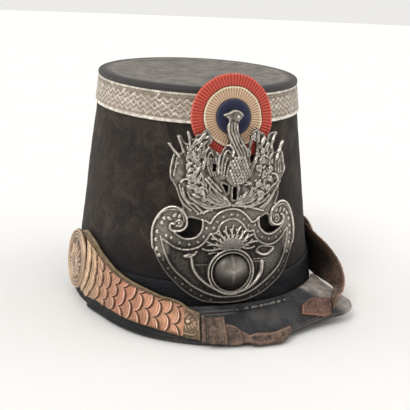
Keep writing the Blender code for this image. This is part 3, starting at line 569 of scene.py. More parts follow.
def visor_look():
    look = Look("visor leather", 0.36)
    grain = look.noise(900.0, 3.0, 0.6)
    patches = look.noise(60.0, 6.0, 0.65)
    tone = look.ramp(patches, ((0.34, (0.0120, 0.0130, 0.0160)), (0.52, (0.032, 0.032, 0.034)),
                               (0.68, (0.068, 0.064, 0.062))))
    scuffs = look.noise(140.0, 5.0, 0.65)
    # Painted highlight: a mottled pale grey that lights the far end of the peak, beyond the folded tab.
    far_end_highlight_tone = look.ramp(scuffs, ((0.38, (0.180, 0.158, 0.142)), (0.62, (0.400, 0.350, 0.315))))
    tone = look.blend(look.value("far_end_highlight"), tone, far_end_highlight_tone)
    # The edge value lightens the bound border and the tucks, and puts painted highlights on the seam's lumps.
    tone = look.blend(look.value("edge"), tone, (0.300, 0.270, 0.240))
    tone = look.blend(look.value("dark"), tone, (0.003, 0.003, 0.004))
    creases = look.noise(75.0, 6.0, 0.65)
    bumps = look.bump(grain, 0.0004, 0.6, look.bump(creases, 0.0026, 0.9))
    return look.done(Base_Color=tone, Normal=bumps, Specular_IOR_Level=0.20)


def brown_leather_look(name, dark, middle, light):
    look = Look(name, 0.62)
    grain = look.noise(1000.0, 3.0, 0.65)
    stains = look.noise(110.0, 6.0, 0.65)
    mottle = look.noise(420.0, 5.0, 0.7)
    tone = look.ramp(stains, ((0.36, dark), (0.50, middle), (0.64, light)))
    tone = look.stain(tone, mottle, ((0.46, 0.0), (0.62, 0.55)), tuple(1.5 * c for c in light))
    tone = look.stain(tone, mottle, ((0.36, 0.65), (0.46, 0.0)), tuple(0.7 * c for c in dark))
    tone = look.blend(look.value("edge"), tone, tuple(min(1.0, 1.9 * c) for c in light))
    # The dark value holds dark lines, holes and grime, and on some pieces painted shade and shadow: the left
    # strap's lining, the slot before the keeper and the keeper's sides.
    tone = look.blend(look.value("dark"), tone, (0.012, 0.010, 0.010))
    cracks = look.noise(260.0, 6.0, 0.7)
    bumps = look.bump(grain, 0.0004, 0.6, look.bump(cracks, 0.0012, 0.6))
    return look.done(Base_Color=tone, Normal=bumps)


def pewter_look():
    look = Look("aged pewter", 0.36, 0.9)
    spots = look.noise(350.0, 5.0, 0.65)
    clouds = look.noise(60.0, 4.0, 0.6)
    # The tone value carries the metal's own tone with painted reflection, and a painted highlight on the
    # ball; the wear value brightens raised relief, partly real wear and partly painted highlight.
    low = look.blend(look.value("tone"), (0.010, 0.009, 0.009), (0.060, 0.051, 0.043))
    high = look.blend(look.value("tone"), (0.560, 0.510, 0.460), (0.900, 0.830, 0.740))
    tone = look.blend(look.value("wear_and_highlight"), low, high)
    tone = look.stain(tone, spots, ((0.50, 0.0), (0.75, 0.45)), (0.070, 0.060, 0.050))
    tone = look.stain(tone, clouds, ((0.50, 0.0), (0.80, 0.30)), (0.100, 0.085, 0.070))
    rough = look.ramp(look.value("wear_and_highlight"), ((0.0, 0.48), (0.8, 0.24)))
    bumps = look.bump(spots, 0.0003, 0.5)
    return look.done(Base_Color=tone, Roughness=rough, Normal=bumps)


def scale_look():
    look = Look("copper scales", 0.42, 0.55)
    spots = look.noise(260.0, 5.0, 0.65)
    tone = look.ramp(look.value("along"), ((0.28, (0.980, 0.680, 0.430)), (0.42, (0.740, 0.350, 0.230)),
                                           (0.55, (0.620, 0.240, 0.175)), (0.95, (0.540, 0.240, 0.150))))
    # Darker towards each scale's root.
    tone = look.blend(look.value("root"), tone, (0.230, 0.135, 0.060))
    tone = look.stain(tone, spots, ((0.42, 0.0), (0.68, 0.65)), (0.260, 0.170, 0.095))
    # Painted highlight on the scales' raised rims and rib crests.
    tone = look.blend(look.value("edge"), tone, (0.900, 0.660, 0.480))
    # Engraved outlines, with painted shadow below each free end and painted shade in the rib furrows.
    tone = look.blend(look.value("dark"), tone, (0.026, 0.015, 0.009))
    bumps = look.bump(spots, 0.0004, 0.5)
    return look.done(Base_Color=tone, Normal=bumps)


def boss_look():
    look = Look("aged brass", 0.42, 0.55)
    spots = look.noise(280.0, 5.0, 0.65)
    # The wear value brightens raised relief, partly real wear and partly painted highlight.
    tone = look.ramp(look.value("wear_and_highlight"), ((0.0, (0.055, 0.036, 0.022)), (0.40, (0.250, 0.165, 0.105)),
                                          (1.0, (0.740, 0.550, 0.390))))
    tone = look.stain(tone, spots, ((0.50, 0.0), (0.75, 0.40)), (0.300, 0.220, 0.140))
    tone = look.blend(look.value("grey"), tone, (0.260, 0.240, 0.240))
    bumps = look.bump(spots, 0.0003, 0.5)
    return look.done(Base_Color=tone, Normal=bumps)


def cloth_look(name, dark, light):
    look = Look(name, 0.85)
    fibres = look.noise(1500.0, 2.0, 0.6)
    fading = look.noise(120.0, 4.0, 0.6)
    # Painted shade of the pleats: darker in each crease, lighter on each crest.
    tone = look.blend(look.value("fold"), dark, light)
    tone = look.stain(tone, fading, ((0.40, 0.0), (0.80, 0.30)), tuple(0.6 * c for c in light))
    tone = look.blend(look.value("edge"), tone, tuple(min(1.0, 1.5 * c + 0.08) for c in light))
    tone = look.blend(look.value("dark"), tone, (0.020, 0.012, 0.012))
    bumps = look.bump(fibres, 0.0003, 0.6)
    return look.done(Base_Color=tone, Normal=bumps)


# Crown
ROUND_POINTS = 192
CROWN_ROWS = 60
CROWN_ROUND = 0.56
BAND_FADE = 0.015
LACE_FADE = (0.82, 0.88)
DAMP_HEIGHT = 0.028
TOP_HOLE = 0.998
TOP_PROUD = LACE_THICKNESS + GAP
# Rim of the top: way in from the wall's edge and share of TOP_RIM_RISE. Flat disc: shares of TOP_RIM_WIDTH.
TOP_RIM = (
    (-TOP_PROUD, 0.10),
    (-TOP_PROUD, 0.45),
    (-0.55 * TOP_PROUD, 0.75),
    (0.60 * TOP_PROUD, 0.95),
    (0.25 * TOP_RIM_WIDTH, 1.00),
    (0.60 * TOP_RIM_WIDTH, 0.90),
    (0.85 * TOP_RIM_WIDTH, 0.62),
)
TOP_DISC = (1.0, 1.3, 2.0, 3.0, 4.0, 4.8, 5.7)
# Lace in millimetres: its length, the zigzag's pitch, feet and rises, and the pitches of flecks and threads.
LACE_GRID = (32, 960)
LACE_ROUND = 450.0
LACE_TOOTH = 5.2
LACE_LINES = ((3.4, 2.6), (6.6, 2.6), (11.2, -2.4), (14.4, -2.4))
LACE_FLECK = (1.9, 2.3)
LACE_PICK = 0.95
BAND_ROWS = 16
BAND_ROUND = 0.58


def add_crown(looks):
    """Felt cone, uneven between its two bands and darker just above the lower one."""
    angle, up = round_grid(CROWN_ROWS, ROUND_POINTS)
    height = up * top_height(angle)
    around = angle / 360.0 * CROWN_ROUND
    free = step_up(height, BAND_HEIGHT, BAND_HEIGHT + BAND_FADE) * (1.0 - step_up(up, *LACE_FADE))
    uneven = (0.35 * wobble(around, height, 0.045, 3) + 0.12 * wobble(around, height, 0.012, 5)) * MM * free
    tide = height + 0.006 * wobble(around, height, 0.03, 6)
    damp = 1.0 - step_up(tide, BAND_HEIGHT, BAND_HEIGHT + DAMP_HEIGHT)
    shell("crown_felt_fine", wall(angle, height, uneven), wall(angle, height, -FELT_WALL), looks["felt"],
          ["crown_felt"], {"damp": damp}, wrap=True)


def top_ring(angle, inset, rise):
    """Ring in the plane of the top, so far in from the crown's edge and so far above it in front."""
    centre = np.array([0.0, TOP_SHIFT, CROWN_HEIGHT])
    edge = wall(angle, top_height(angle))
    inward = centre - edge
    share = mix(1.0, TOP_BACK_RISE, 0.5 - 0.5 * np.cos(np.radians(angle)))
    ring = edge + inward * np.minimum(inset / np.linalg.norm(inward, axis=-1), TOP_HOLE)[..., None]
    ring[..., 2] += GAP + (rise - GAP) * share
    return ring


def add_top(looks):
    """Leather disc with its rolled rim: one profile from the wall's edge over the rim to the middle."""
    angle = np.arange(ROUND_POINTS) * 360.0 / ROUND_POINTS
    rim = [(inset, share * TOP_RIM_RISE) for inset, share in TOP_RIM]
    disc = [(share * TOP_RIM_WIDTH, TOP_RIM_RISE - TOP_SINK) for share in TOP_DISC]
    profile = smooth_path(rim + disc, 3)
    rows = []
    for inset, rise in profile:
        ring = top_ring(angle, inset, rise)
        inside = step_up(inset, 0.5 * TOP_RIM_WIDTH, 1.5 * TOP_RIM_WIDTH)
        ring[:, 2] += 0.4 * MM * inside * wobble(ring[:, 0], ring[:, 1], 0.05, 11)
        rows.append(ring)
    outer = np.array(rows)
    inset = profile[:, 0][:, None] * np.ones(len(angle))
    # Painted shade on the rolled rim, darkest at the wall's edge.
    dark = 1.0 - step_up(inset, 0.10 * TOP_RIM_WIDTH, 0.60 * TOP_RIM_WIDTH)
    # Painted highlight: a pale line along the crease on the rim's inner side.
    line = bell(inset - 0.66 * TOP_RIM_WIDTH, 0.7 * MM)
    under = outer - np.array([0.0, 0.0, 0.8 * MM])
    shell("crown_top_fine", outer, under, looks["top"], ["crown_top"],
          {"rim": 0.95 * dark, "line": 0.60 * line}, wrap=True)


def lace_weave(around, up):
    """Relief of the braid, 0 to 1: zigzag lines on a flecked ground between two plain selvedges."""
    around = around + 0.8 * wobble(around, up, 30.0, 11)
    tooth = np.abs((around / LACE_TOOTH) % 1.0 - 0.5) * 2.0
    lines = np.zeros_like(up)
    for foot, rise in LACE_LINES:
        lines = np.maximum(lines, bell(up - foot - rise * tooth, 0.55))
    across, along = around / LACE_FLECK[0], up / LACE_FLECK[1]
    fleck = np.sin(2 * math.pi * (across + along)) * np.sin(2 * math.pi * (across - along))
    picks = 0.5 + 0.5 * np.sin(2 * math.pi * around / LACE_PICK)
    field = np.maximum(0.95 * lines, 0.62 * step_up(fleck, -0.15, 0.5)) * (0.82 + 0.18 * picks)
    border = clipped(step_up(up, 17.2, 17.9) + 1.0 - step_up(up, 1.5, 2.1))
    return mix(field, 0.70 + 0.30 * picks, border)


def add_lace(looks):
    angle, up = round_grid(*LACE_GRID)
    height = top_height(angle) - LACE_HEIGHT * (1.0 - up)
    weave = lace_weave(angle / 360.0 * LACE_ROUND, up * LACE_HEIGHT / MM)
    selvedge = bell(up * LACE_HEIGHT - 0.7 * MM, 0.8 * MM)
    proud = GAP + LACE_THICKNESS * (0.72 + 0.22 * weave + 0.15 * selvedge)
    shell("lace_band_fine", wall(angle, height, proud), wall(angle, height, GAP), looks["lace"],
          ["lace_band"], {"weave": clipped(0.85 * weave + 0.6 * selvedge)}, wrap=True)


def add_base_band(looks):
    angle, up = round_grid(BAND_ROWS, ROUND_POINTS)
    height = mix(GAP, BAND_HEIGHT, up)
    around = angle / 360.0 * BAND_ROUND
    rounding = bell(up - 1.0, 0.05) + bell(up, 0.04)
    proud = GAP + BAND_THICKNESS * (0.85 - 0.35 * rounding + 0.10 * wobble(around, height, 0.02, 21))
    shell("base_band_fine", wall(angle, height, proud), wall(angle, height, GAP), looks["black"],
          ["base_band"], wrap=True)


# Peak: its lengths in millimetres, and the degrees over which its sewn lumps, tucks, tones and the painted
# highlight of its far end come and go.
VISOR_GRID = (260, 48)
VISOR_SLACK = 12.0
FRINGE_PLACE = 5.8
BORDER_INSETS = ((2.6, 0.45), (0.9, 0.5))
GROOVE_INSET = 1.75
FRINGE_ANGLES = (0.5, 3.0, 25.0, 28.0)
TUCK_ANGLES = (-16.0, -10.0, -3.0, 3.0)
PALE_ANGLES = (10.0, 24.0)
# Degrees over which the far end of the peak takes its painted highlight.
FAR_END_HIGHLIGHT_ANGLES = (37.0, 42.0)
DARK_ANGLES = (-34.0, -14.0)


def add_visor(looks):
    """The peak with its rounded edge, a bound border, a tooled line and the lumps of its seam."""
    angle, share = grid((PEAK_ROWS[0][0], PEAK_ROWS[-1][0], VISOR_GRID[0]), (0.0, 1.0, VISOR_GRID[1]))
    reach = np.interp(angle, PEAK_TABLE[:, 0], PEAK_TABLE[:, 2]) * PEAK_REACH / MM + VISOR_SLACK
    inset = (1.0 - share) * reach
    root = share * reach - FRINGE_PLACE
    sewn = window(angle, *TUCK_ANGLES)
    tucks = (bell(root + 1.0, 0.6) + bell(root - 1.6, 0.6)) * sewn
    fringe = window(angle, *FRINGE_ANGLES)
    lumps = np.maximum(0.0, wobble(angle * 1.5, share * reach, 2.9, 33)) * bell(root, 2.1)
    border = sum(bell(inset - place, width) for place, width in BORDER_INSETS)
    uneven = 0.25 * wobble(angle * 1.6, share * 30.0, 20.0, 31) * step_up(inset, 1.0, 6.0)
    lift = PEAK_THICKNESS / MM - 0.9 * bell(inset, 0.5) + 0.45 * border + uneven
    lift = lift - 0.35 * bell(inset - GROOVE_INSET, 0.3) + 2.0 * fringe * lumps + 0.35 * tucks
    edge = 0.6 * bell(inset - 2.6, 0.35) + 0.6 * bell(inset - 0.8, 0.45)
    edge = edge * (0.35 + 0.65 * step_up(angle, *PALE_ANGLES)) + 0.5 * tucks
    # Painted highlight: bright glints on the tops of the seam's lumps.
    edge = np.maximum(edge, 6.0 * fringe * np.clip(lumps - 0.22, 0.0, 0.4))
    dark = 0.8 * bell(root - 0.3, 0.5) * sewn + 0.7 * bell(inset - GROOVE_INSET, 0.35)
    dark = dark + 0.8 * fringe * bell(root, 2.6) * (lumps < 0.12)
    dark = np.maximum(dark, 0.80 * (1.0 - step_up(angle, *DARK_ANGLES)))
    # The far end of the peak takes a painted highlight.
    values = {"edge": clipped(0.6 * edge), "far_end_highlight": step_up(angle, *FAR_END_HIGHLIGHT_ANGLES), "dark": clipped(dark)}
    shell("visor_fine", peak(angle, share, lift * MM), peak(angle, share, 0.0), looks["visor"],
          ["visor"], values)


# Chin strap
STRAP_GRID = (200, 40)
STRAP_START_ROUND = 9.0 * MM
SCALE_LOBE = 0.0100
STRIP_ROWS = 4.5
SAG_ROWS = 6.0
RIB_PITCH = 2.3
SCALE_SLACK = 2.0 * MM


def add_strap(name, strap, look, replaced, ridge, lining_and_shade):
    """Leather backing of a strap half, with a doubled edge above the scales. Its lengths are millimetres."""
    along, across = grid((0.0, strap.length, STRAP_GRID[0]), (0.0, 1.0, STRAP_GRID[1]))
    along = along + STRAP_START_ROUND * np.abs(2.0 * across - 1.0) ** 3 * (1.0 - along / strap.length) ** 6
    width = strap.width(along) / MM
    inset = across * width
    bead = ridge * (bell(inset - 0.9, 0.6) + 0.8 * bell(inset - 3.0, 0.7))
    uneven = 0.15 * wobble(along / MM, inset, 12.0, 41)
    rounding = 0.5 * (bell(inset, 0.4) + bell(width - inset, 0.4))
    outer = strap.points(along, across, (bead + uneven - rounding) * MM)
    inner = strap.points(along, across, rounding * MM - STRAP_THICKNESS)
    edge = 0.5 * bell(inset - 0.9, 0.5) + 0.3 * bell(inset - 3.0, 0.5)
    near = 1.0 - step_up(along / strap.length, 0.42, 0.66)
    # Where a lining share is given, the inner face near the boss is darkened: partly the lining's own colour,
    # partly painted shade.
    dark = np.maximum(0.8 * bell(inset - 2.0, 0.35), lining_and_shade * near * step_up(across, 0.10, 0.34))
    shell(name, outer, inner, look, replaced, {"edge": edge, "dark": dark})


def scale_lines(strap, across):
    """Where each row of scales starts, from the round boss to the straight tip, as one array a row."""
    start = BOSS_PLACE + BOSS_DIAMETER / 2 + GAP
    last = strap.length - TIP_PLATE_LENGTH
    half = 2.0 * across - 1.0
    curve = BOSS_DIAMETER / 2 * (1.0 - np.sqrt(np.maximum(0.0, 1.0 - (0.93 * half) ** 2)))
    lines = []
    for row in range(SCALE_ROWS + 1):
        sag = max(0.0, 1.0 - row / SAG_ROWS) ** 1.3
        lines.append(mix(start, last, row / SCALE_ROWS) - curve * sag)
    return lines


def free_ends(strap, across, lines, row, straight):
    """Place along the strap of a row's lobed free end, and the share across within each of its lobes."""
    width = float(strap.width(np.array(float(np.mean(lines[row + 1])))))
    lobes = max(2, round(width / SCALE_LOBE))
    sway = 0.05 * np.sin(9.0 * across + 2.1 * row) * straight
    uneven = 0.10 * math.sin(3.7 * row) / lobes
    phase = (lobes * (across + sway + uneven) + (0.5 if row % 2 else 0.0)) % 1.0
    bulge = np.maximum(0.0, 1.0 - np.abs(2.0 * phase - 1.0) ** 2.2) ** 0.5
    pitch = (lines[-1] - lines[0]) / SCALE_ROWS
    return lines[row + 1] + pitch * (0.02 + (0.74 - 0.64 * straight) * bulge), phase


def scale_relief(strap, along, across, lines):
    """Height in millimetres, painted highlight on each raised rim, painted shadow below it and darker root of
    the overlapping rows of lobed scales.
    """
    height, edge, dark = (np.zeros_like(along) for _ in range(3))
    root = np.ones_like(along)
    for row in reversed(range(SCALE_ROWS)):
        straight = max(0.0, 1.0 - row / STRIP_ROWS)
        free_end, phase = free_ends(strap, across, lines, row, straight)
        inside = along < free_end
        share = clipped((along - lines[row]) / (free_end - lines[row]))
        behind = (free_end - along) / MM
        swell = 0.35 * np.sin(math.pi * phase)
        rim = bell(behind - 0.55, 0.42)
        ribs = straight ** 0.5 * (0.5 + 0.5 * np.sin(2 * math.pi * behind / RIB_PITCH))
        mine = SCALE_RISE / MM * (0.25 + 0.50 * share + swell * share) + 0.40 * rim + 0.45 * ribs
        # Painted shadow on the row below, just past each free end.
        gap_shadow = bell(np.maximum(-behind, 0.0), 1.15) * ~inside
        height = np.where(inside, mine, height - 0.45 * gap_shadow)
        # Painted highlight on the raised rim and on the crests of the ribs.
        edge = np.where(inside, np.maximum(rim, 0.55 * ribs * (behind > 0.0)), edge * (1.0 - gap_shadow))
        line = bell(behind - 1.45, 0.30) + 0.45 * bell(behind - 4.2, 0.5) * (1.0 - straight)
        # Engraved outline lines, and painted shade in the furrows between the ribs.
        furrow_shade = straight ** 0.5 * (1.0 - ribs) ** 2 * (behind > 0.8)
        dark = np.where(inside, 0.60 * line + 0.55 * furrow_shade, np.maximum(dark, gap_shadow))
        # Darker towards the root.
        root = np.where(inside, step_up(behind, 0.2, 4.0), root)
    return height, edge, clipped(dark), root


def add_scales(name, strap, look, replaced, low, high, counts):
    """All rows of one strap as a single sheet whose steps are the scales' free ends."""
    share, across = grid((0.0, 1.0, counts[0]), (low, high, counts[1]))
    lines = scale_lines(strap, across)
    along = mix(lines[0], lines[-1] + SCALE_SLACK, share)
    height, edge, dark, root = scale_relief(strap, along, across, lines)
    inset = np.minimum(across - low, high - across) * strap.width(along) / MM
    lift = 0.25 + height - 0.5 * bell(inset, 0.5)
    outer = strap.points(along, across, GAP + lift * MM)
    inner = strap.points(along, across, np.full_like(along, 0.15 * MM))
    # The edge value is painted highlight, the dark value holds engraved outlines with painted shadow and
    # shade, and the root value darkens each scale's root.
    values = {"edge": 0.80 * edge, "dark": 0.92 * dark, "root": 0.55 * root, "along": along / strap.length}
    shell(name, outer, inner, look, replaced, values)


# Stamped metal
def oval(middle, sizes, count=25):
    """Places round an upright oval."""
    return [(middle[0] + sizes[0] * math.sin(a), middle[1] + sizes[1] * math.cos(a))
            for a in np.linspace(0.0, 2 * math.pi, count)]


class Relief:
    """Heights of stamped metal over flat places, all in millimetres."""

    def __init__(self, across, up):
        self.across, self.up = across, up
        self.form = np.zeros_like(across)
        self.detail = np.zeros_like(across)

    def near(self, points, margin):
        points = np.asarray(points, float)
        low, high = points.min(0) - margin, points.max(0) + margin
        return ((self.across > low[0]) & (self.across < high[0]) & (self.up > low[1]) & (self.up < high[1]))

    def ridge(self, points, half_width, height, steps=5, taper=None):
        """A raised line through places. Its width follows a taper along it."""
        path = smooth_path(points, steps) if steps > 1 else np.array(points, float)
        spot = self.near(path, half_width * 2.0)
        x, y = self.across[spot], self.up[spot]
        nearest = np.full_like(x, 1e9)
        place = np.zeros_like(x)
        count = len(path) - 1
        for i in range(count):
            a, b = path[i], path[i + 1]
            step = b - a
            t = clipped(((x - a[0]) * step[0] + (y - a[1]) * step[1]) / max(step @ step, 1e-12))
            away = np.hypot(x - a[0] - t * step[0], y - a[1] - t * step[1])
            closer = away < nearest
            nearest = np.where(closer, away, nearest)
            place = np.where(closer, (i + t) / count, place)
        size = taper(place) if taper else 1.0
        share = nearest / np.maximum(half_width * size, 1e-6)
        raised = height * np.sqrt(np.maximum(0.0, 1.0 - share ** 2)) * np.minimum(size, 1.0)
        self.detail[spot] = np.maximum(self.detail[spot], raised)

    def leaf(self, root, tip, half_width, height, vein=0.45):
        """A pointed leaf from its root to its tip, with a groove down its middle."""
        root, tip = np.array(root, float), np.array(tip, float)
        length = np.linalg.norm(tip - root)
        spot = self.near([root, tip], half_width + 0.3)
        x, y = self.across[spot] - root[0], self.up[spot] - root[1]
        lead = (tip - root) / length
        along = (x * lead[0] + y * lead[1]) / length
        aside = -x * lead[1] + y * lead[0]
        wide = half_width * np.sin(math.pi * clipped(along) ** 0.8) ** 0.8
        share = np.abs(aside) / np.maximum(wide, 1e-6)
        rise = np.sqrt(np.maximum(0.0, 1.0 - share ** 2)) * ((along > 0.0) & (along < 1.0))
        groove = vein * bell(aside, 0.22) * (rise > 0.0)
        self.detail[spot] = np.maximum(self.detail[spot], height * rise * (1.0 - groove))

    def dome(self, centre, size, height, turn=0.0, form=False, power=0.5):
        """A raised oval, on the form below the details where it is a large one."""
        spot = self.near([centre], max(size) * 1.05)
        x, y = self.across[spot] - centre[0], self.up[spot] - centre[1]
        cos, sin = math.cos(math.radians(turn)), math.sin(math.radians(turn))
        share = ((x * cos + y * sin) / size[0]) ** 2 + ((y * cos - x * sin) / size[1]) ** 2
        raised = height * np.maximum(0.0, 1.0 - share) ** power
        layer = self.form if form else self.detail
        layer[spot] = np.maximum(layer[spot], raised)


def signed_distance(x, y, loop):
    """Distance to a closed loop of places, positive inside."""
    nearest = np.full_like(x, 1e9)
    inside = np.zeros(x.shape, bool)
    for (ax, ay), (bx, by) in zip(loop, np.roll(loop, -1, 0)):
        dx, dy = bx - ax, by - ay
        t = clipped(((x - ax) * dx + (y - ay) * dy) / max(dx * dx + dy * dy, 1e-12))
        nearest = np.minimum(nearest, np.hypot(x - ax - t * dx, y - ay - t * dy))
        if ay != by:
            inside ^= ((ay > y) != (by > y)) & (x < (bx - ax) * (y - ay) / (by - ay) + ax)
    return np.where(inside, nearest, -nearest)


def on_disc(centre, normal, x, y, lift):
    """Points at flat places about a centre, so far off the disc's foot."""
    across = unit(np.cross(np.array([0.0, 0.0, 1.0]), normal))
    up = np.cross(normal, across)
    return centre + across * x[..., None] + up * y[..., None] + normal * np.asarray(lift)[..., None]


# Boss, in millimetres: rings as radius and height, and its rosette's middle, rings and leaves.
BOSS_GRID = (60, 144)
BOSS_BORDERS = ((20.4, 1.0), (18.2, 0.85))
BOSS_RING = 15.9
BOSS_HEART = np.array((-1.0, -5.0))
HEART_RINGS = ((7.0, 1.0), (5.0, 0.9), (3.0, 0.8))
BOSS_LEAVES = 20
BOSS_LEAF_FOOT = 7.4
BOSS_LEAF_REACH = 15.0
DISC_HOLE = 0.02


def boss_seat(strap):
    """Centre of a boss's flat foot, just clear of the strap all over the disc, and its outward normal."""
    here, middle = np.array(BOSS_PLACE), np.array(0.5)
    normal = strap.outward(here, middle)
    centre = strap.points(here, middle)
    radius = BOSS_DIAMETER / 2
    along, across = np.meshgrid((BOSS_PLACE + radius) * np.arange(13) / 12, np.arange(9) / 8)
    away = strap.points(along, across) - centre
    rise = away @ normal
    close = np.linalg.norm(away - rise[..., None] * normal, axis=-1) < radius
    return centre + normal * (np.max(rise[close], initial=0.0) + GAP), normal


def boss_relief(relief, radius):
    """Rings round a rosette whose leaves spread from a ringed oval below the middle."""
    for ring, height in BOSS_BORDERS:
        relief.detail = np.maximum(relief.detail, height * bell(radius - ring, 0.60))
    relief.ridge(oval((0.0, 0.0), (BOSS_RING, BOSS_RING)), 0.7, 0.8, 2)
    for size, height in HEART_RINGS:
        relief.ridge(oval(BOSS_HEART, (0.92 * size, size)), 0.7, height, 2)
    for i in range(BOSS_LEAVES):
        turn = 2 * math.pi * i / BOSS_LEAVES
        lead = np.array((math.sin(turn), math.cos(turn)))
        aside = lead @ BOSS_HEART
        reach = math.sqrt(aside ** 2 + BOSS_LEAF_REACH ** 2 - BOSS_HEART @ BOSS_HEART) - aside
        tip = BOSS_HEART + reach * lead * (0.84 if i % 2 else 1.0)
        relief.leaf(BOSS_HEART + BOSS_LEAF_FOOT * lead, tip, 1.5, 0.95, 0.6)


def add_boss(name, strap, look, replaced):
    centre, normal = boss_seat(strap)
    angle, share = np.meshgrid(full_turn(BOSS_GRID[1]), np.linspace(1.0, DISC_HOLE, BOSS_GRID[0]))
    radius = share * BOSS_DIAMETER / 2 / MM
    x, y = radius * np.sin(angle), radius * np.cos(angle)
    relief = Relief(x, y)
    boss_relief(relief, radius)
    rounding = 0.8 * bell(BOSS_DIAMETER / 2 / MM - radius, 0.6)
    lift = BOSS_THICKNESS / MM * 0.55 + relief.detail + 0.5 * step_up(1.0 - share, 0.0, 0.5) - rounding
    outer = on_disc(centre, normal, x * MM, y * MM, lift * MM)
    inner = on_disc(centre, normal, x * MM, y * MM, 0.1 * MM)
    grey = 0.75 * bell(np.hypot(x - BOSS_HEART[0], y - BOSS_HEART[1]), 4.2)
    # Raised relief is brighter: partly wear, partly painted highlight.
    values = {"wear_and_highlight": clipped(0.16 + 0.85 * relief.detail), "grey": grey}
    shell(name, outer, inner, look, replaced, values, wrap=True)


# Plate: its outline from the foot up the wearer's right side, over the crest and down the left side.
# All its places are millimetres, across towards the wearer's left and up from the hat's base.
PLATE_OUTLINE = (
    (0, 21.3), (-9, 21.6), (-17, 22.7), (-20.5, 23.7), (-25, 26), (-30, 29.3), (-35, 33.7), (-40.5, 39.3),
    (-44, 43.8), (-48, 50.3), (-49.8, 55), (-51.6, 59.5), (-52, 65), (-51.6, 70.5), (-50, 75.7),
    (-46.5, 81.3), (-42.3, 84.9), (-38, 86.2), (-34, 85.6), (-31.4, 83.6), (-32, 86.5), (-33, 90),
    (-35.5, 97), (-38, 102), (-39.2, 104.5), (-39.3, 108), (-38.2, 114), (-36.8, 118.5), (-38.6, 122),
    (-40.8, 125.5), (-37.8, 125.7), (-36.6, 123.3), (-33.6, 119.9), (-32, 119.6), (-32, 122.5),
    (-34.2, 127.8), (-34.5, 130.6), (-31.4, 130), (-30, 127), (-28.2, 125.4), (-27.2, 126.4),
    (-28.4, 130.5), (-28, 133.3), (-26, 131.4), (-25, 128.4), (-23.5, 128.6), (-22, 131), (-19.5, 131.2),
    (-18, 133), (-16, 134), (-14, 132.2), (-12.6, 128.6), (-12.7, 125.8), (-14.6, 123.6), (-12, 121.2),
    (-9.6, 119.6), (-7.8, 118.2), (-6.2, 121.1), (-3.6, 124), (-1.8, 125.8), (-3.4, 129.5), (-3.8, 135.2),
    (-2.2, 139), (-5.5, 141.9), (-4.9, 143.4), (-2.4, 144.4), (0.6, 146), (4.2, 145.2), (6.9, 143.4),
    (7.4, 141.4), (5.2, 139.4), (3.9, 135.2), (4.8, 131.5), (7.4, 127), (10, 121.8), (11.3, 125.3),
    (12.6, 129.6), (13.4, 132.2), (15.6, 133.2), (18, 134), (19.6, 131.6), (21.6, 131.4), (23.4, 128.4),
    (24.8, 127.6), (26, 130.2), (28.2, 131.4), (32.8, 131.7), (31.8, 129), (30.2, 126), (29.6, 121.6),
    (31, 118.6), (33.4, 120.4), (35.8, 124.2), (38.6, 126.2), (38.4, 122.6), (36.8, 118.6), (38.5, 112),
    (39.8, 107.5), (39.8, 104), (37.5, 101.5), (36.2, 98), (34.5, 92), (32.6, 87), (32.2, 84.4), (35, 86.2),
    (39.5, 86.6), (43.8, 84.6), (47.4, 80), (50, 74.4), (51.7, 68.2), (52, 62), (50.7, 56), (49.2, 51.5),
    (46.2, 45.3), (42.2, 38.8), (37.2, 33.8), (28, 28.3), (22, 25.5), (16.5, 23.6), (9, 21.9),
)
PLATE_OPENINGS = (
    ((-27.5, 78), (-23, 77.4), (-19.5, 76), (-19.3, 74), (-19.5, 71.5), (-20.5, 69), (-23, 66.5), (-26, 65.5),
     (-30, 65.5), (-33, 67), (-35.5, 69), (-33, 69.0), (-30, 70.2), (-28, 73), (-27.6, 75.5)),
    ((19.5, 75.5), (22, 77), (25, 78), (26.5, 76.5), (27.2, 72.6), (28.6, 70.4), (31.5, 69.2), (36.5, 69),
     (34, 67.4), (30.5, 66), (26, 66), (22, 68.5), (20, 72)),
    ((-12.3, 112), (-11.4, 112.5), (-10.5, 112), (-10.4, 110), (-10.6, 108), (-11.4, 107.5), (-12.2, 108),
     (-12.4, 110)),
    ((-6.4, 99.8), (-4.4, 98.9), (-2.6, 97.8), (-2.8, 95.6), (-3.2, 93.5), (-4.9, 96.6)),
    ((0.5, 96.8), (1.9, 97), (3.2, 96.8), (3.1, 93), (2.8, 89.5), (1.6, 89.4), (0.4, 89.7), (0.4, 93)),
    ((13.2, 126.5), (14.8, 126), (16.2, 124.5), (16.3, 121), (15.6, 118), (14.5, 115.5), (12.2, 112),
     (11.5, 115), (12.2, 118.5), (12.9, 122.5)),
)
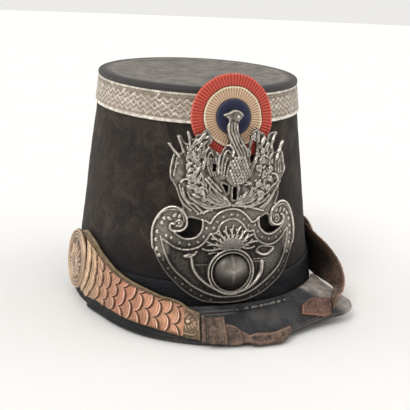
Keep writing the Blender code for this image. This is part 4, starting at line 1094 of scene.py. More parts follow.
# Raised lines: half width, height and places.
PLATE_RIDGES = (
    (0.55, 1.0, (
        (-45, 64.5), (-43.5, 58), (-41.5, 52.5), (-39, 47.5), (-35.5, 43), (-31, 39), (-26, 34.5),
        (-20, 30.8), (-14, 28), (-8, 26.3), (0, 25.8), (6, 26), (11, 27.3), (16, 29.3), (21, 32), (26, 35),
        (31, 38.3), (35.5, 42), (38.5, 46), (41, 50.5), (42.5, 56), (43.7, 62), (44, 66),
    )),
    (0.75, 1.3, (
        (-51, 58), (-51.3, 65), (-51, 70), (-49.5, 75), (-46, 80.5), (-42, 84), (-38, 85.4), (-34, 84.8),
        (-31, 82.5), (-29, 79), (-28.3, 75.5), (-29, 72.5), (-31, 70.5), (-34, 69.5), (-37, 69.7),
        (-39, 71), (-39.3, 73), (-38.3, 74.3), (-36.5, 74.3),
    )),
    (0.4, 0.7, ((-47, 77), (-45, 80.6), (-41, 83.0), (-37, 83.4), (-33, 82.8), (-30.9, 79.6), (-30.2, 76))),
    (0.5, 0.8, ((-35.4, 75.6), (-33.6, 76.6), (-31.6, 75.6), (-31.6, 73.6), (-33.2, 72.6), (-35, 73))),
    (0.75, 1.3, (
        (50.2, 56), (51.3, 62), (51, 68), (49.3, 74), (47, 79.3), (43.5, 83.6), (39.5, 85.6), (35.2, 85.4),
        (31.5, 83), (29.2, 80), (28.2, 76), (29, 73), (31.5, 71), (35, 70.2), (38.3, 71.2), (40, 73.5),
        (39.5, 76), (37.6, 77.2),
    )),
    (0.4, 0.7, ((47, 76), (44.6, 80.4), (41, 83.2), (37, 83.6), (33, 81.8), (30.8, 78), (30.6, 75))),
    (0.45, 0.7, ((31.6, 76), (33.5, 77), (35.4, 75.9), (35.6, 73.8), (34, 72.3), (31.9, 73))),
    (0.5, 0.9, (
        (-45.5, 65.5), (-44.5, 64.5), (-40.5, 61.8), (-36, 59), (-31, 57.6), (-26, 57.8), (-21, 59.5),
        (-17.5, 62.5), (-15, 66), (-13.6, 67.7), (-10.5, 68), (-9.5, 69), (-8, 72.5), (-5, 75.5), (0, 77.1),
        (4, 76), (7.5, 73), (9.5, 70), (10.5, 68.3), (13, 68.2), (15, 68.4), (15.7, 67), (17, 63.5),
        (20, 60.5), (24.5, 58.3), (29.5, 57.8), (34, 59), (38, 61.5), (41.5, 65), (44, 67),
    )),
    (0.55, 1.1, (
        (-19, 77), (-16, 76), (-14, 74.5), (-12, 77.5), (-9, 80.5), (-5, 82.5), (0, 83.4), (5, 82.3),
        (9.5, 79), (12.5, 75.5), (14, 74), (17, 75), (19, 77),
    )),
    (0.5, 0.9, (
        (-18.5, 76), (-18.6, 74), (-18.9, 71.5), (-20.2, 68.3), (-23.6, 65.4), (-29, 64.6), (-33, 66),
        (-36.4, 68.6), (-39, 71.5),
    )),
    (0.5, 0.9, (
        (18.8, 76), (18.9, 72), (20.9, 68.3), (24.5, 65.3), (29, 64.6), (33.4, 66.2), (37.6, 68.6),
        (40.2, 71),
    )),
    (0.9, 1.7, (
        (-25.8, 53), (-25.2, 48), (-24, 44), (-21.5, 40), (-18, 36.5), (-14, 33.5), (-10, 31.2), (-6, 29.4),
        (0, 28.6),
    )),
    (1.25, 1.9, (
        (0, 28.6), (6, 29.2), (11, 31), (14.8, 33.2), (17.9, 36), (20.2, 39.3), (21.2, 42), (21.4, 45.5),
        (21.4, 47.3),
    )),
    (0.55, 1.2, ((-30.4, 53.4), (-27.6, 54.4), (-25.6, 54.2), (-23.6, 55), (-22.4, 56.4))),
    (0.9, 1.2, ((-29.4, 53.2), (-26.2, 53.2), (-23.8, 54.4))),
    (0.45, 0.9, ((17, 54.6), (19, 56.8), (22, 57.4), (27, 56.6), (31.5, 55.4))),
    (0.85, 1.6, ((18, 53.8), (20.5, 52.2), (24, 51.5), (27.2, 52.4), (30.5, 54.6))),
    (0.3, 0.5, ((-25, 47.8), (-20, 47.8), (-15.5, 47.8))),
    (0.35, 0.7, ((15, 48), (19, 47.4), (24.5, 47.2))),
    (0.35, 0.7, ((15, 49.6), (19, 49.2), (25, 48.9))),
    (0.6, 1.0, ((-4, 56.6), (0, 57.4), (4, 56.6))),
    (0.5, 1.0, ((-14.6, 54.8), (-11, 55.6), (-7, 55.2))),
    (0.4, 0.9, ((0.3, 88.6), (0.1, 93), (0.3, 97.6))),
    # Edges and folds of the flags.
    (0.6, 1.2, ((-38.2, 102), (-38.8, 107), (-37.8, 113), (-36.4, 118))),
    (0.45, 0.9, ((-36.6, 105), (-35.4, 110), (-34.4, 116))),
    (0.55, 1.1, ((-32.3, 100.7), (-30.5, 102.5), (-28, 103), (-26.5, 102), (-27.4, 100.4))),
    (0.55, 1.0, ((-34.8, 97.5), (-33.2, 92), (-30.4, 87), (-26, 83))),
    (0.6, 1.1, ((-31, 97), (-29.5, 91), (-27, 88), (-24, 87), (-20.5, 83.5), (-18, 81))),
    (0.55, 1.0, ((-33, 99), (-31.4, 93), (-28.8, 88.4), (-25, 84.8), (-21, 81))),
    (0.5, 0.9, ((-28, 94.5), (-25.6, 90.6), (-22, 87.6), (-17, 84.5), (-13, 82.8))),
    (0.5, 0.9, ((-25, 91), (-21, 88.2), (-15, 85.8), (-8, 85), (-2, 85.4))),
    (0.55, 1.0, ((-22, 80.5), (-17, 82), (-12, 84), (-6, 85.6))),
    (0.6, 1.2, ((38.6, 105.5), (38.9, 108), (37.6, 113), (36.2, 118))),
    (0.4, 0.8, ((31.6, 105), (31.2, 110), (31.8, 116))),
    (0.4, 0.8, ((33.6, 104.6), (33.4, 110), (33.6, 116.4))),
    (0.4, 0.8, ((35.8, 105), (35.6, 110), (35.2, 116))),
    (0.55, 1.1, ((28, 104.5), (30.6, 104.4), (32.5, 103), (33.5, 99), (29, 96.5), (24, 92))),
    (0.6, 1.1, ((34.5, 92), (33, 88), (31.5, 85))),
    (0.6, 1.1, ((35.4, 99), (31.5, 93), (28, 88), (24, 84))),
    (0.55, 1.0, ((31, 93), (27, 87.4), (22, 82.5))),
    (0.55, 1.0, ((29, 90.6), (24.6, 86.2), (20, 83))),
    (0.5, 0.9, ((27, 91), (22, 87), (15, 84.6), (8, 84.4), (0, 85.6))),
    (0.55, 1.0, ((22, 80.8), (16, 82.6), (9, 84.6))),
    (0.55, 1.1, ((5, 99.5), (8, 100.6), (12, 99.4), (9, 98.4))),
    # Spears.
    (0.75, 1.4, ((-33, 117), (-36, 121), (-39.4, 125))),
    (0.75, 1.4, ((-30.4, 120), (-32, 125), (-33.4, 129.4))),
    (0.7, 1.3, ((-26, 122), (-26.8, 127), (-27.6, 132))),
    (0.75, 1.4, ((31.6, 114), (34.4, 119.6), (37.6, 125))),
    (0.75, 1.4, ((27.4, 121), (28.8, 126), (31.4, 130.8))),
    # Cockerel: neck, wings and tail.
    (0.55, 1.0, ((-2.4, 139), (-2.8, 133), (-0.6, 127), (2, 121), (4.6, 115))),
    (0.45, 0.8, ((-0.6, 138), (-0.8, 133), (1.4, 127), (4, 121.4), (6, 116))),
    (0.45, 0.8, ((1.2, 137.6), (1, 133.4), (3.2, 127.6), (6, 121.8), (7.6, 117))),
    (0.5, 0.9, ((2.9, 136.6), (2.9, 132.6), (5, 128), (8, 122.4), (9.6, 117))),
    (0.65, 1.3, ((-17.4, 113), (-17, 119), (-15, 122.4), (-13, 122.8), (-10.6, 121.4), (-9.4, 118.6))),
    (0.45, 0.9, ((-15.6, 112), (-15, 117.4), (-13.2, 119.6), (-12, 118))),
    (0.65, 1.3, (
        (-9, 107), (-9, 113), (-7.5, 119.6), (-4, 123.6), (-1.4, 123.4), (0.4, 120.4), (-0.4, 117),
    )),
    (0.45, 0.9, ((-7.2, 106), (-7, 112), (-5.4, 118), (-3, 120.8), (-1.4, 119.4))),
    (0.45, 0.9, ((-5.6, 105), (-5, 111), (-3.4, 116))),
    (0.45, 0.9, ((-4, 104.4), (-3.2, 109), (-1.6, 113.4))),
    (0.5, 0.9, ((17.5, 118), (13, 110), (8, 100))),
    (0.5, 0.9, ((15.4, 113.6), (12.4, 106), (9.4, 101))),
    (0.6, 1.0, ((-17, 103), (-12, 97), (-8, 93), (-4, 90), (-1.6, 86.4))),
    (0.5, 0.9, ((-15, 104), (-10.6, 99), (-7, 95))),
    (0.5, 0.9, ((-13, 101), (-14.4, 96), (-12.6, 91), (-8, 87.6))),
    (0.5, 1.0, ((-6.4, 142.2), (-4, 143), (-1.6, 144), (1.6, 145.3), (4.6, 144.4), (6.8, 142.2))),
)
# Leaves: half width, height, and pairs of root and tip.
PLATE_LEAVES = (
    (1.1, 1.3, (
        ((-28, 120), (-25, 115.5)), ((-29, 111.6), (-24.4, 113.4)), ((-28.6, 98.6), (-23.6, 97)),
        ((-27.4, 101), (-22, 95)), ((-25.4, 93.6), (-19.6, 91)), ((-20, 97.4), (-17, 92)),
        ((-28, 108), (-23.6, 109.6)), ((-28.4, 104.4), (-24, 105.6)), ((-18.6, 109), (-17.4, 115.6)),
        ((-19, 116), (-17.4, 122)), ((19, 118), (22, 121.6)), ((25, 114), (28.8, 118.4)),
        ((12, 90.4), (13.6, 96)), ((22, 96), (27.4, 97.6)),
    )),
    (1.1, 1.4, (
        ((-24, 120), (-22.3, 113.5)), ((-22.3, 113.5), (-19.6, 120)), ((-22, 101), (-19.3, 107.4)),
    )),
    (1.3, 1.4, (((-25, 103), (-20.5, 111)),)),
    (1.3, 1.5, (((-22.6, 124.4), (-16.4, 132)), ((17.6, 125), (17.4, 132.6)))),
    (1.2, 1.3, (
        ((-16, 91), (-11, 87)), ((4, 88), (9, 92.4)), ((8, 86.6), (14, 89.6)), ((17, 87), (22, 91.6)),
    )),
    (1.2, 1.4, (
        ((-21, 123), (-15.4, 126.6)), ((-25.4, 122), (-21.4, 128.6)), ((13, 124), (15.4, 131.6)),
        ((19.6, 123), (22.8, 129.8)), ((22.6, 119), (25, 126)),
    )),
    (0.9, 1.0, (
        ((-37.4, 78.6), (-34.8, 80.8)), ((-34, 78), (-32.2, 80.6)), ((-38, 76.8), (-41.4, 78.4)),
        ((32.2, 79), (34.4, 81.4)), ((36, 78.6), (37.6, 81.8)), ((39, 78), (41.8, 80.6)),
    )),
    (0.9, 1.1, (((3.6, 99), (5.4, 94)),)),
    (0.6, 1.0, (((-5, 141.5), (-8.2, 140.6)),)),
    (0.9, 1.2, (((2.6, 137.2), (3.4, 133.4)),)),
)
# Small raised spots: radius, height and places.
PLATE_SPOTS = (
    (0.8, 0.75, (
        (-33, 62), (-27, 61), (-21.5, 62.5), (-18, 66), (-16.2, 71.5), (-11.5, 71.5), (-9.3, 75.5),
        (-5.5, 78.5), (-0.3, 79.8), (3.8, 79.2), (8, 76.3), (11.5, 72), (16, 72), (18, 67.5), (21.5, 63.5),
        (27, 61.5), (33, 62), (37.5, 65),
    )),
    (0.7, 0.45, (
        (-44, 50.5), (-40.7, 45), (-36, 39), (-31.5, 35), (-26, 31), (-19.5, 27.3), (-13.5, 24.5),
        (13.5, 24.5), (19.5, 27.3), (26, 31), (31.5, 34.6), (36.6, 38.6), (41.4, 44), (44.6, 50.5),
    )),
    (1.3, 0.9, (
        (-43, 77.5), (-44.4, 74.6), (-48.6, 63.5), (-48.2, 57.5), (-47.6, 68.6), (-46.6, 53.4), (46.5, 68),
        (47, 63), (46, 56.5), (44, 50.5), (45.6, 73), (43.4, 77),
    )),
    (1.0, 0.8, (
        (33.5, 74.5), (-33.3, 74.6), (-41.6, 66.4), (-38.4, 65), (-34, 113), (34, 113), (38.3, 105.6),
        (3.6, 141.4),
    )),
    (0.65, 0.8, (
        (0, 103), (1.6, 104.4), (3.2, 103), (4.8, 104.4), (6.4, 103.4), (0.4, 106), (2, 107.4), (3.6, 106),
        (5.2, 107.4), (6.8, 106.2), (8.2, 107.6), (1, 109), (2.6, 110.4), (4.2, 109), (5.8, 110.4),
        (7.4, 109.2), (8.8, 110.6), (3, 112.6), (4.8, 113), (6.6, 112.4), (8.4, 113.4),
    )),
)
ACORNS = (
    (26.5, 108), (26.5, 101.5), (24.5, 96), (17.5, 109), (17.5, 98.5), (21.6, 104.6), (20, 113.4), (19, 92.6),
)
# Large forms under the lines: place, sizes, height, turn and power of their swell.
PLATE_FORMS = (
    ((4.0, 111.0), (9.0, 13.5), 2.6, -14.0, 0.5),
    ((0.6, 130.0), (3.8, 11.0), 1.4, 6.0, 0.5),
    ((1.4, 141.6), (5.0, 3.8), 1.2, 10.0, 0.5),
    ((-6.0, 113.0), (5.5, 11.0), 1.4, 4.0, 0.5),
    ((-22.5, 107.0), (9.0, 23.0), 1.6, 4.0, 1.0),
    ((20.5, 107.0), (10.5, 22.0), 1.8, -6.0, 1.0),
    ((-33.0, 108.0), (6.0, 12.0), 0.9, 4.0, 0.5),
    ((34.0, 110.0), (5.5, 11.0), 0.9, -4.0, 0.5),
)
# Small leaves of the wreath: stem of a branch, spread about it and length.
FOLIAGE = (
    (((-4, 87), (-13, 90), (-20, 97), (-24, 106), (-24, 115), (-20, 126)), 4.6, 3.4),
    (((4, 87), (13, 91), (20, 98), (23.6, 106), (23.4, 115), (19, 126)), 6.2, 2.5),
)
FOLIAGE_COUNT = 110
BALL_PLACE = (-0.2, 42.3)
BALL_RADIUS = 11.5
BALL_HEIGHT = 5.5
BALL_TOP = 56.0
RING_RADII = ((12.9, 0.65, 1.5), (14.9, 0.70, 1.7))
FLAME_FOOT = (0.0, 57.4)
FLAME_COUNT = 39
FLAME_REACHES = (1.0, 0.62, 0.84, 0.70)
FAN_LEAVES = 8
BREAST_PLACE = (4.2, 108.0)
BREAST_SIZE = (6.6, 10.5)
FEATHER_ROWS = 9
FEATHER_COLUMNS = 7
WING_FEATHERS = 6
TROPHY_FOOT = (82.0, 88.0)
PLATE_GRID = 0.44
PLATE_SPAN = ((-53.0, 53.0), (20.4, 147.4))
LOOP_STEPS = 3
BLUR_ROUNDS = 14


def closed_path(points):
    """A smooth closed loop through places."""
    given = np.array(points, float)
    wrapped = np.vstack([given[-2:], given, given[:3]])
    path = smooth_path(wrapped, LOOP_STEPS)
    return path[2 * LOOP_STEPS:(2 + len(given)) * LOOP_STEPS]


def flame_relief(relief):
    """Wavy tongues that fan out above the ball, every second one shorter."""
    for i in range(FLAME_COUNT):
        turn = math.radians(mix(-88.0, 88.0, i / (FLAME_COUNT - 1)))
        reach = (15.6 + 3.2 * abs(math.sin(turn)) ** 3) * FLAME_REACHES[i % 4]
        aside, above = math.sin(turn), math.cos(turn)
        bow = (0.9 if i % 4 < 2 else -0.9) * (1.0 - 0.3 * (i % 2))
        path = []
        for share in (0.10, 0.35, 0.60, 0.82, 1.0):
            sway = bow * math.sin(2 * math.pi * share)
            path.append((FLAME_FOOT[0] + reach * share * aside + sway * above,
                         FLAME_FOOT[1] + reach * share * above * 0.98 - sway * aside))
        relief.ridge(path, 0.55, 1.5, 5, lambda t: 1.0 - 0.65 * np.abs(t - 0.45) ** 1.5)


def foliage_relief(relief):
    """Small seeded leaves that fill the ground of both branches of the wreath."""
    rng = np.random.default_rng(8)
    for line, spread, size in FOLIAGE:
        stem = smooth_path(line, 12)
        for i in range(FOLIAGE_COUNT):
            at = int(rng.integers(0, len(stem) - 1))
            lead = stem[at + 1] - stem[at]
            heading = math.atan2(lead[1], lead[0]) + rng.uniform(-0.9, 0.9)
            place = stem[at] + rng.uniform(-spread, spread, 2) * (1.0, 0.7)
            tip = place + size * rng.uniform(0.7, 1.2) * np.array((math.cos(heading), math.sin(heading)))
            relief.leaf(place, tip, 0.55 + 0.1 * (i % 3), 0.85 + 0.15 * (i % 2), 0.2)


def fan_taper(share):
    return np.sin(math.pi * np.clip(0.15 + 0.85 * share, 0.0, 0.97)) + 0.1


def fan_relief(relief):
    """Long curved leaves that sweep up and out from the tied foot of the wreath on both sides."""
    for side in (-1.0, 1.0):
        for i in range(FAN_LEAVES):
            share = i / (FAN_LEAVES - 1)
            turn = math.radians(mix(84.0, 38.0, share))
            reach = mix(24.0, 13.0, share)
            root = (side * mix(1.0, 3.0, share), 85.8 + 1.2 * share)
            bow = 0.16 * reach * (1.0 if i % 2 else 0.7)
            tip = (root[0] + side * reach * math.sin(turn), root[1] + reach * math.cos(turn))
            middle = (0.5 * (root[0] + tip[0]), 0.5 * (root[1] + tip[1]) - bow)
            relief.ridge((root, middle, tip), 0.65, 1.15, 6, fan_taper)


def feather_relief(relief):
    """Rows of small feathers on the breast and long ones that hang from the wings."""
    for row in range(FEATHER_ROWS):
        for i in range(FEATHER_COLUMNS):
            across = -2.4 + 2.0 * i + (1.0 if row % 2 else 0.0) + 0.22 * row
            up = 99.6 + 2.0 * row
            aside = (across - BREAST_PLACE[0]) / BREAST_SIZE[0]
            above = (up - BREAST_PLACE[1]) / BREAST_SIZE[1]
            if aside ** 2 + above ** 2 < 1.0:
                relief.leaf((across, up + 1.2), (across - 0.5, up - 1.1), 0.85, 1.0, 0.2)
    for i in range(WING_FEATHERS):
        root = (-16.6 + 1.5 * i, 116.5 - 0.3 * i)
        middle = (-15.6 + 1.5 * i, 111.0)
        tip = (-13.4 + 1.4 * i, 104.5 + 0.5 * i)
        relief.ridge((root, middle, tip), 0.42, 0.8)


def plate_relief(relief):
    foliage_relief(relief)
    fan_relief(relief)
    feather_relief(relief)
    flame_relief(relief)
    for half_width, height, path in PLATE_RIDGES:
        relief.ridge(path, half_width, height)
    for half_width, height, pairs in PLATE_LEAVES:
        for root, tip in pairs:
            relief.leaf(root, tip, half_width, height)
    for radius, height, places in PLATE_SPOTS:
        for place in places:
            relief.dome(place, (radius, radius), height)
    for place in ACORNS:
        relief.ridge(oval(place, (1.5, 1.5), 13), 0.5, 1.2, 1)
        relief.dome(place, (0.8, 0.8), 1.1)
    for radius, half_width, height in RING_RADII:
        relief.ridge(oval(BALL_PLACE, (radius, radius), 49), half_width, height, 1)
    relief.dome(BALL_PLACE, (BALL_RADIUS, BALL_RADIUS), BALL_HEIGHT, form=True)
    for place, sizes, height, turn, power in PLATE_FORMS:
        relief.dome(place, sizes, height, turn, form=True, power=power)


def blurred(values):
    for _ in range(BLUR_ROUNDS):
        values = 0.25 * (np.roll(values, 1, 0) + np.roll(values, -1, 0)
                         + np.roll(values, 1, 1) + np.roll(values, -1, 1))
    return values


def plate_tone_and_painted_light(x, y, ball):
    """Where the metal is paler: the trophy and the scrolls, partly the metal's own tone and partly painted
    reflection; two pale patches beside the ball, painted reflection; and the upper face of the ball, a
    painted highlight.
    """
    tone = 0.12 + 0.75 * step_up(y, 56.0, 70.0)
    tone = np.maximum(tone, 0.95 * step_up(np.abs(x), 38.5, 42.0) * step_up(y, 48.0, 56.0))
    # Painted reflection: pale patches in the field either side of the ball.
    tone = tone + 0.45 * bell(np.hypot(x - 27.0, y - 50.0), 9.0)
    tone = tone + 0.15 * bell(np.hypot(x + 28.0, y - 52.0), 8.0)
    # Painted highlight on the ball: a bright upper face and a thin upright line.
    lit = 0.05 + 0.95 * bell(y - BALL_PLACE[1] - 3.5, 4.5) * bell(x - BALL_PLACE[0], 7.5)
    lit = lit + 0.25 * bell(x - BALL_PLACE[0], 0.8) * step_up(y, 34.0, 40.0)
    return np.where(ball, lit, tone)


def plate_inside(x, y):
    """Distance to the nearest border of the metal, positive on it."""
    inside = signed_distance(x, y, closed_path(PLATE_OUTLINE))
    for loop in PLATE_OPENINGS:
        inside = np.minimum(inside, -signed_distance(x, y, closed_path(loop)))
    return inside


def drawn_in(x, y, inside):
    """The grid's places, with those off the metal moved to its border."""
    slope_up, slope_across = np.gradient(inside, PLATE_GRID)
    steep = np.maximum(np.hypot(slope_up, slope_across), 1e-6)
    outside = np.minimum(inside, 0.0)
    return x - outside * slope_across / steep, y - outside * slope_up / steep


def pierced_faces(inside):
    """Quads of both faces and the cut edges of the metal, and which of the grid's points they use."""
    kept = inside > 0.0
    some = kept[:-1, :-1] | kept[1:, :-1] | kept[:-1, 1:] | kept[1:, 1:]
    used, quads = np.unique(grid_faces(*inside.shape)[some.ravel()], return_inverse=True)
    quads, count = quads.reshape(-1, 4), len(used)
    edges = np.concatenate([quads[:, [0, 1]], quads[:, [1, 2]], quads[:, [2, 3]], quads[:, [3, 0]]])
    there, back = edges[:, 0] * count + edges[:, 1], edges[:, 1] * count + edges[:, 0]
    border = edges[~np.isin(there, back)]
    sides = np.stack([border[:, 1], border[:, 0], border[:, 0] + count, border[:, 1] + count], -1)
    return np.concatenate([quads, quads[:, ::-1] + count, sides]), used


def add_plate(looks):
    """Stamped and pierced plate: a fine flat sheet raised by its relief, then bent."""
    x, y = np.meshgrid(*(np.arange(low, high, PLATE_GRID) for low, high in PLATE_SPAN))
    inside = plate_inside(x, y)
    x, y = drawn_in(x, y, inside)
    relief = Relief(x, y)
    plate_relief(relief)
    rim = 0.55 * bell(inside - 0.75, 0.45) * (relief.detail < 0.6)
    rough = 0.05 * wobble(x, y, 3.0, 51) + 0.35 * step_up(y, *TROPHY_FOOT) * wobble(x, y, 6.5, 52)
    total = relief.form + relief.detail + rim + rough
    ball = (relief.form > 0.3) & (y < BALL_TOP)
    tone = plate_tone_and_painted_light(x, y, ball)
    # Brighter on raised relief, partly wear and partly painted highlight, over the tone's painted reflection;
    # on the ball it is the painted highlight alone.
    wear_and_highlight = 0.02 + 0.26 * tone + 0.80 * (total - blurred(total)) + 0.16 * relief.detail
    wear_and_highlight = clipped(np.where(ball, 0.55 * tone, wear_and_highlight))
    lift = (PLATE_THICKNESS / MM + total - 0.45 * bell(np.maximum(inside, 0.0), 0.3)) * MM
    faces, used = pierced_faces(inside)
    where = front_frame(PLATE_LEAN, PLATE_FORWARD)
    sides = [bent(x * MM, y * MM, height, PLATE_RADIUS, where).reshape(-1, 3)[used]
             for height in (lift, np.zeros_like(x))]
    values = {key: np.tile(value.ravel()[used], 2) for key, value in (("wear_and_highlight", wear_and_highlight), ("tone", tone))}
    make_piece("plate_fine", np.concatenate(sides), faces, looks["pewter"], ["plate"], values)


# Cockade
PLEAT_POINTS = 10
PLEAT_CREASE = 0.8
RING_ROWS = 20
RING_LAP = 0.1 * MM


def pleated_ring(name, radii, pleats, depth, look, replaced, bead):
    """A flat ring of knife pleats, with a raised cord at its outer edge where a bead is given."""
    outer, inner = radii
    turn, share = np.meshgrid(full_turn(pleats * PLEAT_POINTS), np.linspace(0.0, 1.0, RING_ROWS))
    radius = mix(outer, inner, share)
    phase = (turn / (2 * math.pi) * pleats) % 1.0
    fold = np.where(phase < PLEAT_CREASE, phase / PLEAT_CREASE, (1.0 - phase) / (1.0 - PLEAT_CREASE))
    inset = outer - radius
    cord = bell(inset - 0.6 * MM, 0.55 * MM) * bead
    lift = 0.5 * cord - 0.4 * bell(inset, 0.3 * MM)
    lift = lift + 0.2 * wobble(radius * np.sin(turn), radius * np.cos(turn), 0.02, 62)
    lift = COCKADE_THICKNESS - depth * (1.0 - fold) * (1.0 - cord) + lift * MM
    radius = radius + 0.25 * MM * wobble(turn * 0.02, 0.0 * turn, 0.012, 61) * (1.0 - share)
    across, up = COCKADE_SIDE + radius * np.sin(turn), COCKADE_HEIGHT + radius * np.cos(turn)
    lean = math.degrees(math.atan2(BASE_HALF_DEPTH - TOP_HALF_DEPTH + TOP_SHIFT, CROWN_HEIGHT))
    where = front_frame(lean, 2 * GAP + LACE_THICKNESS)
    front, back = (bent(across, up, height, COCKADE_BEND, where) for height in (lift, 0.0 * lift))
    # The fold value is painted shade of the pleats, darker in each crease and lighter on each crest, kept
    # midway on the cord.
    values = {
        "fold": fold * (1.0 - 0.5 * cord) + 0.5 * cord,
        "edge": clipped(0.55 * cord + 0.5 * (1.0 - bead) * bell(inset - 0.5 * MM, 0.4 * MM)),
        "dark": 0.8 * bell(outer - inset - inner, 0.5 * MM),
    }
    shell(name, front, back, look, replaced, values, wrap=True)


def add_cockade(looks):
    pleated_ring("cockade_red_fine", (COCKADE_RADIUS, COCKADE_CREAM_RADIUS + RING_LAP), 76, 0.7 * MM,
                 looks["red"], ["cockade_red"], 0.0)
    pleated_ring("cockade_cream_fine", (COCKADE_CREAM_RADIUS, COCKADE_CENTRE_RADIUS + RING_LAP), 60, 0.7 * MM,
                 looks["cream"], ["cockade_cream"], 1.0)
    pleated_ring("cockade_centre_fine", (COCKADE_CENTRE_RADIUS, 0.3 * MM), 48, 0.25 * MM,
                 looks["navy"], ["cockade_centre"], 0.0)


# Ends of the chin strap. Their lengths are millimetres, and one degree along the peak is DEGREE long.
DEGREE = 1.7
END_POINTS = 44
TEAR_SEED = 71
PINCH_ANGLE = 0.9
SLOT_SHADOW_ANGLE = -11.3
HOLES = ((-1.2, 0.35), (4.4, 0.45), (9.0, 0.45), (13.4, 0.50))
HOLE_DEGREE = 1.75
KEEPER_LENGTH = 19.5
KEEPER_POINTS = 70
STITCHES = 19.0
TAB_LENGTH = 19.0
TAB_WIDTH = 15.0


def on_peak(name, angle, share, low, high, look, replaced, values):
    """A sheet that lies on the peak between two heights above its upper face."""
    outer, inner = peak(angle, share, PEAK_THICKNESS + high), peak(angle, share, PEAK_THICKNESS + low)
    shell(name, outer, inner, look, replaced, values)


def add_right_end(looks):
    """Leather end with a pinched neck, punched holes and a torn tongue."""
    path = smooth_path(RIGHT_END, 24)
    across = np.linspace(0.0, 1.0, END_POINTS)
    first, last = path[0, 0], path[-1, 0]
    torn = last + 0.55 * wobble(across * 0.03, 0.0 * across, 0.008, TEAR_SEED)
    torn = torn - 1.4 * step_up(across, 0.55, 1.0)
    angle = first + (path[:, :1] - first) / (last - first) * (torn - first)
    share = mix(path[:, 1:2], path[:, 2:3], across)
    width = (path[:, 2:3] - path[:, 1:2]) * PEAK_REACH * 0.6 / MM
    pinch = angle - PINCH_ANGLE
    high = 0.30 * wobble(angle * DEGREE, share * 20.0, 7.0, 72) + 0.7 * step_up(pinch, 0.0, 0.6)
    high = high - 0.5 * bell(np.minimum(across, 1.0 - across) * width, 0.4) - 0.7 * bell(pinch, 0.9)
    edge = 0.6 * bell(across * width - 0.9, 0.45) + 0.25 * bell((1.0 - across) * width - 0.9, 0.4)
    # The first term is a painted shadow across the end in the slot before the keeper; the second darkens the
    # pinched neck.
    dark = 0.9 * bell(angle - SLOT_SHADOW_ANGLE, 0.28) + 0.75 * bell(pinch, 0.22)
    for hole_angle, hole_across in HOLES:
        away = np.hypot((angle - hole_angle) * HOLE_DEGREE, (across - hole_across) * width)
        dark = np.maximum(dark, 0.9 * bell(away, 0.8))
        high = high - 0.5 * bell(away, 0.7)
    on_peak("strap_end_right_fine", angle, share, GAP, TONGUE_THICKNESS + GAP + high * MM, looks["brown"],
            ["strap_end_right"], {"edge": edge, "dark": clipped(dark)})


def add_keeper(looks):
    """The loop round the leather end, stitched along one side."""
    angle, across = grid((*KEEPER_SIDES, KEEPER_POINTS), (0.0, 1.0, KEEPER_POINTS))
    side = np.minimum(angle - KEEPER_SIDES[0], KEEPER_SIDES[1] - angle) * DEGREE
    inset = np.minimum(side, np.minimum(across, 1.0 - across) * KEEPER_LENGTH)
    line = (KEEPER_SIDES[1] - angle) * DEGREE
    stitch = np.where((across * STITCHES) % 1.0 < 0.55, 1.0, 0.2)
    edge = 0.55 * bell(line - 1.2, 0.4) + 0.4 * bell(line - 2.6, 0.35) * stitch
    low = 2 * GAP + TONGUE_THICKNESS
    high = 0.35 * wobble(angle * DEGREE, across * 20.0, 6.0, 74)
    high = high - 0.7 * bell(inset, 0.6) - 0.3 * bell(line - 1.9, 0.3)
    grime = clipped(wobble(angle * DEGREE, across * 20.0, 4.0, 75) - 0.6)
    # Painted shadow along the keeper's two sides; the grime is dirt.
    dark = 0.6 * bell(side - 0.1, 0.35) + 0.5 * grime
    on_peak("keeper_right_fine", angle, mix(*KEEPER_PLACES, across), low, low + TONGUE_THICKNESS + high * MM,
            looks["brown"], ["keeper_right"], {"edge": edge, "dark": clipped(dark)})


def add_left_tab(looks):
    """The tab folded back on the peak, with pale cut edges."""
    upper, lower = (smooth_path([row[i] for row in LEFT_TAB], 18) for i in (0, 1))
    across = np.linspace(0.0, 1.0, END_POINTS)
    angle = mix(upper[:, :1], lower[:, :1], across)
    share = mix(upper[:, 1:2], lower[:, 1:2], across)
    along = np.linspace(0.0, 1.0, len(upper))[:, None] * np.ones_like(across)
    inset = np.minimum(along * TAB_LENGTH, np.minimum(across, 1.0 - across) * TAB_WIDTH)
    high = 0.3 * wobble(along * TAB_LENGTH, across * TAB_WIDTH, 7.0, 81) - 0.5 * bell(inset, 0.5)
    values = {"edge": 0.9 * bell(inset - 0.5, 0.45), "dark": 0.35 * step_up(along, 0.55, 1.0)}
    on_peak("strap_end_left_fine", angle, share, GAP, GAP + STRAP_THICKNESS + high * MM, looks["red_brown"],
            ["strap_end_left"], values)


# Tip plates and stud
TIP_GRID = (70, 60)
TIP_WIDTH = 18.0
TIP_LEAVES = 4
STUD_GRID = (14, 32)
STUD_RING = 0.8
STUD_PLACE = 0.62


